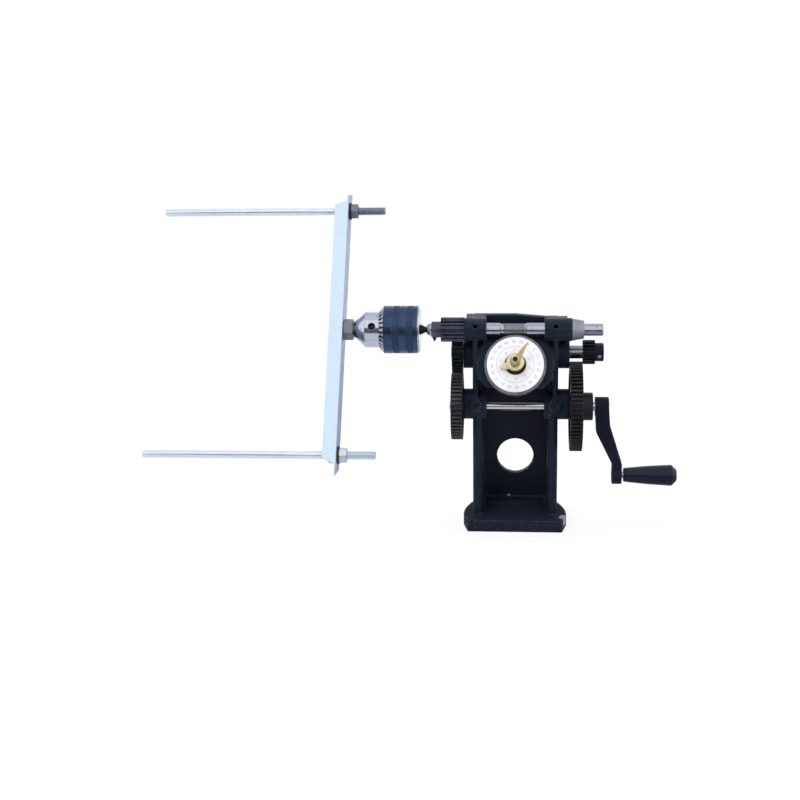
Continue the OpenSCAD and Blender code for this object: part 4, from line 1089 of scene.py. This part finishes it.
@dataclass
class Stand(Assembly):
    """The cast stand with its bushes and lock screws."""

    def build(self) -> None:
        """Coat the casting and what is pressed into it."""
        self.coat(Shop.CASTING, "cast_frame")
        self.coat(Shop.BRONZE, "spindle_bushes", "lay_bushes", "crank_bushes")
        self.coat(Shop.SCREW, "bush_lock_screws")


@dataclass
class Counter(Assembly):
    """The dial with its two worm wheels, pointers and printed scale."""

    plate: float = 1.0
    zero: float = 32.0
    ink: float = 0.02
    ring_radius: float = 17.0
    ring_line: float = 0.28
    ring_steps: int = 96
    ticks: int = 100
    long_every: int = 5
    tick_outer: float = 25.1
    tick_short: float = 0.9
    tick_long: float = 1.5
    tick_line: float = 0.16
    outer_radius: float = 21.2
    outer_height: float = 2.9
    outer_count: int = 20
    inner_radius: float = 13.2
    inner_height: float = 2.7
    inner_count: int = 10
    font_share: float = 1.4
    figure_smooth: float = 20.0
    lean: Matrix = field(init=False)
    middle: Vector = field(init=False)

    def __post_init__(self) -> None:
        """Take the middle of the dial's face from the frame."""
        low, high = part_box("dial_plate")
        self.lean = Matrix.Rotation(math.radians(-COUNTER_TILT), 4, "X")
        self.middle = (low + high) / 2.0 + self.lean @ Vector((0.0, -self.plate / 2.0 * MM, 0.0))

    def build(self) -> None:
        """Coat the counter's solids and print its dial."""
        self.coat(Shop.WHEEL, "dial_wheel", "turns_wheel")
        self.coat(Shop.DIAL, "dial_plate")
        self.coat(Shop.RING, "dial_ring")
        self.coat(Shop.BRASS, "long_pointer")
        self.coat(Shop.PALE_BRASS, "short_pointer", "pointer_nut")
        self.coat(Shop.POST, "counter_post")
        self.print_scale()
        outer_step = self.ticks // self.outer_count
        self.print_numbers("dial_outer_numbers", Shop.INK, self.outer_radius, self.outer_height,
                           range(0, self.ticks, outer_step))
        self.print_numbers("dial_inner_numbers", Shop.RED_INK, self.inner_radius, self.inner_height,
                           range(self.inner_count))

    def around(self, turns: float) -> Matrix:
        """Give the move of a mark from the dial's middle, by turns clockwise from zero."""
        spin = Matrix.Rotation(math.radians(360.0 * turns + self.zero), 4, "Y")
        return Matrix.Translation(self.middle) @ self.lean @ spin

    def print_scale(self) -> None:
        """Print the circle and the ticks."""
        shape = bmesh.new()
        outer = self.ring_radius
        inner = outer - self.ring_line
        band = [(self.ink, inner), (-self.ink, inner), (-self.ink, outer), (self.ink, outer)]
        circle = Shaper.turned(shape, band, (0.0, 0.0, 0.0), Axis.Y, self.ring_steps, True)
        bmesh.ops.transform(shape, matrix=self.around(0.0), verts=circle)
        for mark in range(self.ticks):
            length = self.tick_short if mark % self.long_every else self.tick_long
            made = bmesh.ops.create_cube(shape, size=1.0)["verts"]
            size = Matrix.Diagonal((self.tick_line * MM, 2.0 * self.ink * MM, length * MM, 1.0))
            lift = Matrix.Translation((0.0, 0.0, (self.tick_outer - length / 2.0) * MM))
            bmesh.ops.transform(shape, matrix=self.around(mark / self.ticks) @ lift @ size, verts=made)
        self.piece("dial_scale", shape, Shop.INK, "dial", "dial_enamel")

    def print_numbers(self, name: str, finish: Finish, radius: float, height: float, numbers: range) -> None:
        """Print one circle of numbers, tops outwards.

        Args:
            name: Name of the piece.
            finish: Its ink.
            radius: Radius of the numbers' middles, in mm.
            height: Height of a figure, in mm.
            numbers: The numbers, clockwise from zero.
        """
        shape = bmesh.new()
        upright = Matrix.Rotation(math.radians(90.0), 4, "X")
        lift = Matrix.Translation((0.0, 0.0, radius * MM))
        for mark, number in enumerate(numbers):
            words = bpy.data.curves.new("figure", "FONT")
            words.body = str(number)
            words.size = height * MM * self.font_share
            words.align_x = "CENTER"
            words.align_y = "CENTER"
            words.extrude = self.ink * MM
            words.resolution_u = 2
            holder = bpy.data.objects.new("figure", words)
            mesh = bpy.data.meshes.new_from_object(holder)
            mesh.transform(upright)
            mesh.transform(self.around(mark / len(numbers)) @ lift)
            shape.from_mesh(mesh)
            bpy.data.objects.remove(holder)
            bpy.data.curves.remove(words)
            bpy.data.meshes.remove(mesh)
        self.piece(name, shape, finish, "dial", "dial_enamel", smooth=self.figure_smooth)


@dataclass
class CrankDrive(Assembly):
    """The crank, its two gears and the shifting lay shaft."""

    def build(self) -> None:
        """Coat the crank's and the lay shaft's solids."""
        self.coat(Shop.GEAR, "left_drive_gear")
        self.coat(Shop.DARK_GEAR, "right_drive_gear")
        self.coat(Shop.LAY_GEAR, "lay_gear", "lay_pinion")
        self.coat(Shop.SHAFT, "crank_shaft")
        self.coat(Shop.LAY, "lay_shaft")
        self.coat(Shop.JAW, "drive_key", "lay_key", "shift_fork")
        self.coat(Shop.SCREW, "gear_set_screw", "arm_set_screw")
        self.coat(Shop.ARM, "crank_arm")
        self.coat(Shop.PIN, "handle_pin", "lay_set_screw")
        self.coat(Shop.GRIP, "handle_grip")


@dataclass
class SpindleLine(Assembly):
    """The spindle with its worm thread, pinion and collar."""

    worm_left: float = -12.6
    worm_right: float = 8.6
    worm_root: float = 5.1
    worm_crest: float = 5.85
    worm_pitch: float = 1.74
    worm_foot: float = 0.6
    worm_top: float = 0.16
    worm_steps: int = 24

    def build(self) -> None:
        """Coat the spindle's solids and cut its worm."""
        self.coat(Shop.SPINDLE, "spindle")
        self.coat(Shop.PINION, "spindle_pinion")
        self.coat(Shop.COLLAR, "end_collar")
        self.coat(Shop.SCREW, "pinion_set_screw", "collar_set_screw", "chuck_arbor")
        shape = bmesh.new()
        ridge = Shaper.ridge(self.worm_root, self.worm_crest, self.worm_foot, self.worm_top)
        middle = self.worm_pitch / 2.0
        start = middle - math.floor((middle - self.worm_left) / self.worm_pitch) * self.worm_pitch
        wheel_side = math.pi - math.radians(COUNTER_TILT)
        Shaper.coil(shape, ridge, start, self.worm_right, self.worm_pitch, SPINDLE_AXIS, wheel_side,
                    self.worm_steps)
        self.piece("worm_thread", shape, Shop.WORM, "spindle_line", "bright_steel")


@dataclass
class Chuck(Assembly):
    """The keyed chuck with its ring, jaws and knurled grips."""

    tooth_band: float = 4.2
    grips: tuple[Span, ...] = ((12.7, 18.5), (25.1, 30.9))
    grip_radius: float = 21.4
    grip_sunk: float = 0.15
    grip_slack: float = 0.05
    grip_rise: float = 0.34
    grip_ridges: int = 96
    ridge_steps: int = 4
    grip_rows: int = 14
    diamond: float = 1.4
    grip_smooth: float = 70.0

    def build(self) -> None:
        """Coat the chuck's solids and knurl its ring."""
        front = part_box("chuck_sleeve")[0].x / MM
        self.coat(Shop.CHROME, "chuck_body")
        self.coat(Shop.sleeve(front + self.tooth_band, self.tooth_band), "chuck_sleeve")
        self.coat(Shop.JAW, "chuck_nut", "jaw_1", "jaw_2", "jaw_3")
        for number, (left, right) in enumerate(self.grips, 1):
            self.knurl(number, front + left, front + right)

    def knurl(self, number: int, left: float, right: float) -> None:
        """Raise the crossed ridges of one grip band.

        Args:
            number: Which band it is.
            left: Its left end along X, in mm.
            right: Its right end, in mm.
        """
        shape = bmesh.new()
        step = (right - left) / self.grip_rows
        base = self.grip_radius - self.grip_sunk
        skin = [(left + step * row, self.grip_radius) for row in range(self.grip_rows + 1)]
        verts = Shaper.turned(shape, [(left, base)] + skin + [(right, base)], SPINDLE_AXIS, Axis.X,
                              self.grip_ridges * self.ridge_steps, True)
        axis = Vector(SPINDLE_AXIS) * MM
        for vert in verts:
            out = Vector((0.0, vert.co.y - axis.y, vert.co.z - axis.z))
            along = vert.co.x / MM - left
            on_skin = out.length >= (self.grip_radius - self.grip_slack) * MM
            if on_skin and step / 2.0 <= along <= right - left - step / 2.0:
                vert.co += out.normalized() * self.grip_rise * MM * self.diamond_rise(out, along)
        self.piece(f"chuck_grip_{number}", shape, Shop.KNURL, "chuck_ring", "chuck_blue",
                   smooth=self.grip_smooth)

    def diamond_rise(self, out: Vector, along: float) -> float:
        """Give the height of the crossed ridges at one point.

        Args:
            out: Direction of the point from the axis.
            along: Its distance from the left end of the band, in mm.

        Returns:
            The height, from 0 to 1.
        """
        turn = math.atan2(out.y, out.z) * self.grip_ridges
        lean = along * math.tau / self.diamond
        return 1.0 - (abs(math.sin((turn + lean) / 2.0)) + abs(math.sin((turn - lean) / 2.0))) / 2.0


@dataclass
class WindingFrame(Assembly):
    """The zinc angle with its two rods, nuts and bolt; second_turn alone is in radians."""

    rods: tuple[str, ...] = ("upper_rod", "lower_rod")
    frame_turn: float = -35.0
    clearance: float = 0.05
    rod: float = 3.5
    rod_steps: int = 40
    rod_round: float = 0.9
    rod_bulge: float = 0.25
    rod_step: float = 0.3
    rod_smooth: float = 40.0
    core: float = 3.3
    crest: float = 3.88
    thread_pitch: float = 1.25
    thread_sunk: float = 0.1
    thread_foot: float = 0.55
    thread_top: float = 0.09
    thread_steps: int = 20
    thread_run: float = 3.0
    tip_length: float = 0.6
    tip_depth: float = 0.5
    nut_height: float = 6.6
    nut_flats: float = 13.0
    nut_smooth: float = 25.0
    second_turn: float = 0.3
    washer_radius: float = 8.0
    washer_steps: int = 56
    washer_face: float = 0.15
    washer_back: float = 0.3
    washer_slope: float = 0.35
    bolt_radius: float = 5.0
    bolt_flats: float = 17.0
    bolt_tip: float = 0.8
    bolt_steps: int = 48
    head_height: float = 6.4
    shank_sunk: float = 0.5
    lean: float = field(init=False)
    places: dict[str, Point] = field(init=False)

    def __post_init__(self) -> None:
        """Take the rods' places from the frame."""
        self.lean = math.radians(self.frame_turn)
        self.places = {}
        for name in self.rods:
            low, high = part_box(name)
            self.places[name] = (0.0, (low.y + high.y) / 2.0 / MM, (low.z + high.z) / 2.0 / MM)

    @staticmethod
    def ends(name: str) -> Span:
        """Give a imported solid's left and right ends along X, in mm."""
        low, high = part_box(name)
        return low.x / MM, high.x / MM

    def build(self) -> None:
        """Coat the angle and build its rods and fasteners."""
        self.coat(Shop.BAR, "cross_bar")
        for name in self.rods:
            self.threaded_rod(name)
        self.nuts_and_washers()
        self.bolt_and_nut()

    def threaded_rod(self, name: str) -> None:
        """Build a plain rod whose right end is threaded.

        Args:
            name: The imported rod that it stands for.
        """
        centre = self.places[name]
        left, right = self.ends(name)
        step = self.ends("rod_nuts")[0] - self.thread_run
        shape = bmesh.new()
        outline = [(left, 0.0),
                   (left, self.rod - self.rod_round),
                   (left + self.rod_bulge, self.rod - self.rod_round / 2.0),
                   (left + self.rod_round, self.rod),
                   (step - self.rod_step, self.rod),
                   (step + self.rod_step, self.core),
                   (right - self.tip_length, self.core),
                   (right, self.core - self.tip_depth),
                   (right, 0.0)]
        Shaper.turned(shape, outline, centre, Axis.X, self.rod_steps)
        ridge = Shaper.ridge(self.core - self.thread_sunk, self.crest, self.thread_foot, self.thread_top)
        Shaper.coil(shape, ridge, step + self.tip_length, right - self.tip_length, self.thread_pitch,
                    centre, 0.0, self.thread_steps)
        self.piece(f"threaded_{name}", shape, Shop.ROD, "spindle_line", "zinc_rod", [name], self.rod_smooth)

    def zinc_piece(self, name: str, shape: bmesh.types.BMesh, solid: str) -> None:
        """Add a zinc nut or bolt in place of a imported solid."""
        self.piece(name, shape, Shop.NUT, "spindle_line", "zinc_nut", [solid], self.nut_smooth)

    def nuts_and_washers(self) -> None:
        """Build the four rod nuts and the two washers."""
        left, right = self.ends("rod_nuts")
        face, back = self.ends("rod_washers")
        bore = self.crest + self.clearance
        band = [(face, bore),
                (face, self.washer_radius - self.washer_face),
                (face + self.washer_face, self.washer_radius),
                (back - self.washer_back, self.washer_radius),
                (back, self.washer_radius - self.washer_slope),
                (back, bore)]
        pair = (((left, left + self.nut_height), self.lean),
                ((right - self.nut_height, right), self.lean + self.second_turn))
        nuts = bmesh.new()
        rings = bmesh.new()
        for centre in self.places.values():
            for ends, turn in pair:
                Shaper.hexagon(nuts, ends, self.nut_flats, bore, centre, turn)
            Shaper.turned(rings, band, centre, Axis.X, self.washer_steps, True)
        self.zinc_piece("chamfered_rod_nuts", nuts, "rod_nuts")
        self.piece("rod_washer_pair", rings, Shop.WASHER, "spindle_line", "dark_washer", ["rod_washers"])

    def bolt_and_nut(self) -> None:
        """Build the bolt that the chuck grips and the nut on it."""
        left, right = self.ends("frame_bolt")
        seat = left + self.head_height
        bolt = bmesh.new()
        Shaper.hexagon(bolt, (left, seat), self.bolt_flats, 0.0, SPINDLE_AXIS, self.lean)
        shank = [(seat - self.shank_sunk, 0.0),
                 (seat - self.shank_sunk, self.bolt_radius),
                 (right - self.bolt_tip, self.bolt_radius),
                 (right, self.bolt_radius - self.bolt_tip),
                 (right, 0.0)]
        Shaper.turned(bolt, shank, SPINDLE_AXIS, Axis.X, self.bolt_steps)
        self.zinc_piece("chamfered_bolt", bolt, "frame_bolt")
        nut = bmesh.new()
        bore = self.bolt_radius + self.clearance
        Shaper.hexagon(nut, self.ends("frame_nut"), self.bolt_flats, bore, SPINDLE_AXIS, self.lean)
        self.zinc_piece("chamfered_bolt_nut", nut, "frame_nut")


@dataclass(frozen=True)
class Card:
    """A flat card that only bright metal shows; foot and head are two edges across the view, as Y and Z."""

    name: str
    left: float
    right: float
    foot: tuple[float, float]
    head: tuple[float, float]
    shade: Colour


@dataclass(frozen=True)
class Lamp:
    """A soft square lamp, with its power in watts."""

    name: str
    place: Point
    size: float
    power: float


@dataclass
class Studio:
    """Floor, cards, lamps, surround and camera; places and sizes are in metres and angles in degrees."""

    REACH: ClassVar[float] = 1.8
    CHUCK_SIDE: ClassVar[float] = -0.13

    cards: tuple[Card, ...] = (
        Card("dark_card", -REACH, CHUCK_SIDE, (-1.0, 0.003), (-1.9, 1.0), tint(92, 90, 104)),
        Card("low_card", CHUCK_SIDE, 0.17, (-0.42, 0.003), (-1.6, 0.45), tint(72, 72, 84)),
        Card("floor_card", -REACH, REACH, (-1.0, 0.002), (0.6, 0.002), tint(217, 220, 228)),
        Card("grey_card", -REACH, REACH, (-0.33, 1.5), (2.2, 1.5), tint(222, 226, 234)),
        Card("end_card", 0.05, 0.4, (-1.0, 0.004), (0.3, 0.004), tint(156, 160, 169)))
    lamps: tuple[Lamp, ...] = (
        Lamp("key", (-0.75, -0.9, 1.25), 0.7, 9.5),
        Lamp("fill", (0.95, -1.0, 0.8), 0.8, 5.4),
        Lamp("crown", (0.0, 0.35, 1.3), 0.9, 18.0))
    lamp_aim: Point = (-0.05, 0.0, 0.14)
    paper: Colour = tint(246, 246, 246)
    floor_half: float = 6.0
    floor_fade: Span = (0.3, 0.8)
    floor_glow: float = 0.84
    room: Colour = (0.95, 0.97, 1.0, 1.0)
    room_light: float = 0.45
    eye: Point = (0.0048, -1.2, 0.4661)
    yaw: float = -5.3
    pitch: float = -16.2
    roll: float = -1.2
    focal_pixels: float = 1353.4
    picture_pixels: float = 800.0
    sensor_mm: float = 36.0
    clip: float = 0.01

    def build(self) -> None:
        """Set up the studio round the winder."""
        bpy.context.scene.view_settings.view_transform = "Standard"
        self.lay_floor()
        for card in self.cards:
            self.hang_card(card)
        self.surround()
        for lamp in self.lamps:
            self.hang_lamp(lamp)
        self.stand_camera()

    @staticmethod
    def sheet(name: str, half: float, move: Matrix, cover: bpy.types.Material) -> bpy.types.Object:
        """Make a flat sheet.

        Args:
            name: Its name.
            half: Half its side before the move.
            move: The move that brings it from the origin to its place.
            cover: Its material.

        Returns:
            The sheet.
        """
        shape = bmesh.new()
        bmesh.ops.create_grid(shape, x_segments=1, y_segments=1, size=half)
        bmesh.ops.transform(shape, matrix=move, verts=shape.verts)
        mesh = bpy.data.meshes.new(name)
        shape.to_mesh(mesh)
        shape.free()
        mesh.materials.append(cover)
        made = bpy.data.objects.new(name, mesh)
        bpy.context.scene.collection.objects.link(made)
        return made

    def lay_floor(self) -> None:
        """Lay the pale floor, which keeps the winder's shadow."""
        paper = bpy.data.materials.new("white_paper")
        sketch = Sketch.blank(paper)
        matte = sketch.add("BsdfDiffuse", {"Color": self.paper}).outputs[0]
        glow = sketch.add("Emission", {"Color": WHITE, "Strength": 1.0}).outputs[0]
        rays = sketch.add("LightPath").outputs
        seen = sketch.calc("MAXIMUM", rays["Is Camera Ray"], rays["Is Glossy Ray"])
        away = sketch.add("VectorMath", {0: sketch.place()}, operation="LENGTH").outputs["Value"]
        share = sketch.calc("MULTIPLY", seen, sketch.span(away, *self.floor_fade, self.floor_glow, 1.0))
        sketch.add("OutputMaterial", {"Surface": sketch.merge(share, matte, glow)})
        ground = self.sheet("floor", self.floor_half, Matrix.Identity(4), paper)

    def hang_card(self, card: Card) -> None:
        """Hang a card that only shows in bright metal.

        Args:
            card: The card.
        """
        cloth = bpy.data.materials.new(card.name)
        sketch = Sketch.blank(cloth)
        glow = sketch.add("Emission", {"Color": card.shade, "Strength": 1.0}).outputs[0]
        sketch.add("OutputMaterial", {"Surface": glow})
        start = Vector(((card.left + card.right) / 2.0, *card.foot))
        stop = Vector(((card.left + card.right) / 2.0, *card.head))
        rise = stop - start
        size = Matrix.Diagonal(((card.right - card.left) / 2.0, rise.length / 2.0, 1.0, 1.0))
        slant = Matrix.Rotation(math.atan2(rise.z, rise.y), 4, "X")
        middle = Matrix.Translation((start + stop) / 2.0)
        held = self.sheet(card.name, 1.0, middle @ slant @ size, cloth)
        held.visible_camera = False
        held.visible_diffuse = False
        held.visible_shadow = False

    def surround(self) -> None:
        """Set the world: white to the camera and to bright metal, a soft room to everything else."""
        world = bpy.data.worlds.new("studio_room")
        bpy.context.scene.world = world
        sketch = Sketch.blank(world)
        rays = sketch.add("LightPath").outputs
        white = sketch.calc("MAXIMUM", rays["Is Camera Ray"], rays["Is Transmission Ray"])
        seen = sketch.calc("MAXIMUM", white, rays["Is Glossy Ray"])
        open_air = sketch.add("Background", {"Color": WHITE, "Strength": 1.0}).outputs[0]
        room = sketch.add("Background", {"Color": self.room, "Strength": self.room_light}).outputs[0]
        sketch.add("OutputWorld", {"Surface": sketch.merge(seen, room, open_air)})

    def hang_lamp(self, lamp: Lamp) -> None:
        """Hang one lamp that looks at the winder.

        Args:
            lamp: The lamp.
        """
        light = bpy.data.lights.new(lamp.name, "AREA")
        light.size = lamp.size
        light.energy = lamp.power
        held = bpy.data.objects.new(lamp.name, light)
        held.location = lamp.place
        aim = Vector(self.lamp_aim) - Vector(lamp.place)
        held.rotation_euler = aim.to_track_quat("-Z", "Y").to_euler()
        held.visible_glossy = False
        bpy.context.scene.collection.objects.link(held)

    def stand_camera(self) -> None:
        """Stand the camera where the photograph was taken from."""
        lens = bpy.data.cameras.new("photo_camera")
        lens.sensor_width = self.sensor_mm
        lens.sensor_fit = "HORIZONTAL"
        lens.lens = self.focal_pixels * self.sensor_mm / self.picture_pixels
        lens.clip_start = self.clip
        yaw, pitch, roll = (math.radians(value) for value in (self.yaw, self.pitch, self.roll))
        ahead = Vector((math.sin(yaw) * math.cos(pitch), math.cos(yaw) * math.cos(pitch), math.sin(pitch)))
        level = Vector((math.cos(yaw), -math.sin(yaw), 0.0))
        above = level.cross(ahead)
        right = level * math.cos(roll) + above * math.sin(roll)
        top = above * math.cos(roll) - level * math.sin(roll)
        pose = Matrix((right, top, -ahead)).transposed().to_4x4()
        pose.translation = Vector(self.eye)
        camera = bpy.data.objects.new("photo_camera", lens)
        camera.matrix_world = pose
        bpy.context.scene.collection.objects.link(camera)
        bpy.context.scene.camera = camera


def main() -> None:
    """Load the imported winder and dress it."""
    logging.basicConfig(level=logging.INFO, format="%(name)s: %(message)s")
    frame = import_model()
    nodes = frame["nodes"]
    Studio().build()
    for group in (Stand, Counter, CrankDrive, SpindleLine, Chuck, WindingFrame):
        group(nodes).build()


if __name__ == "__main__":
    main()
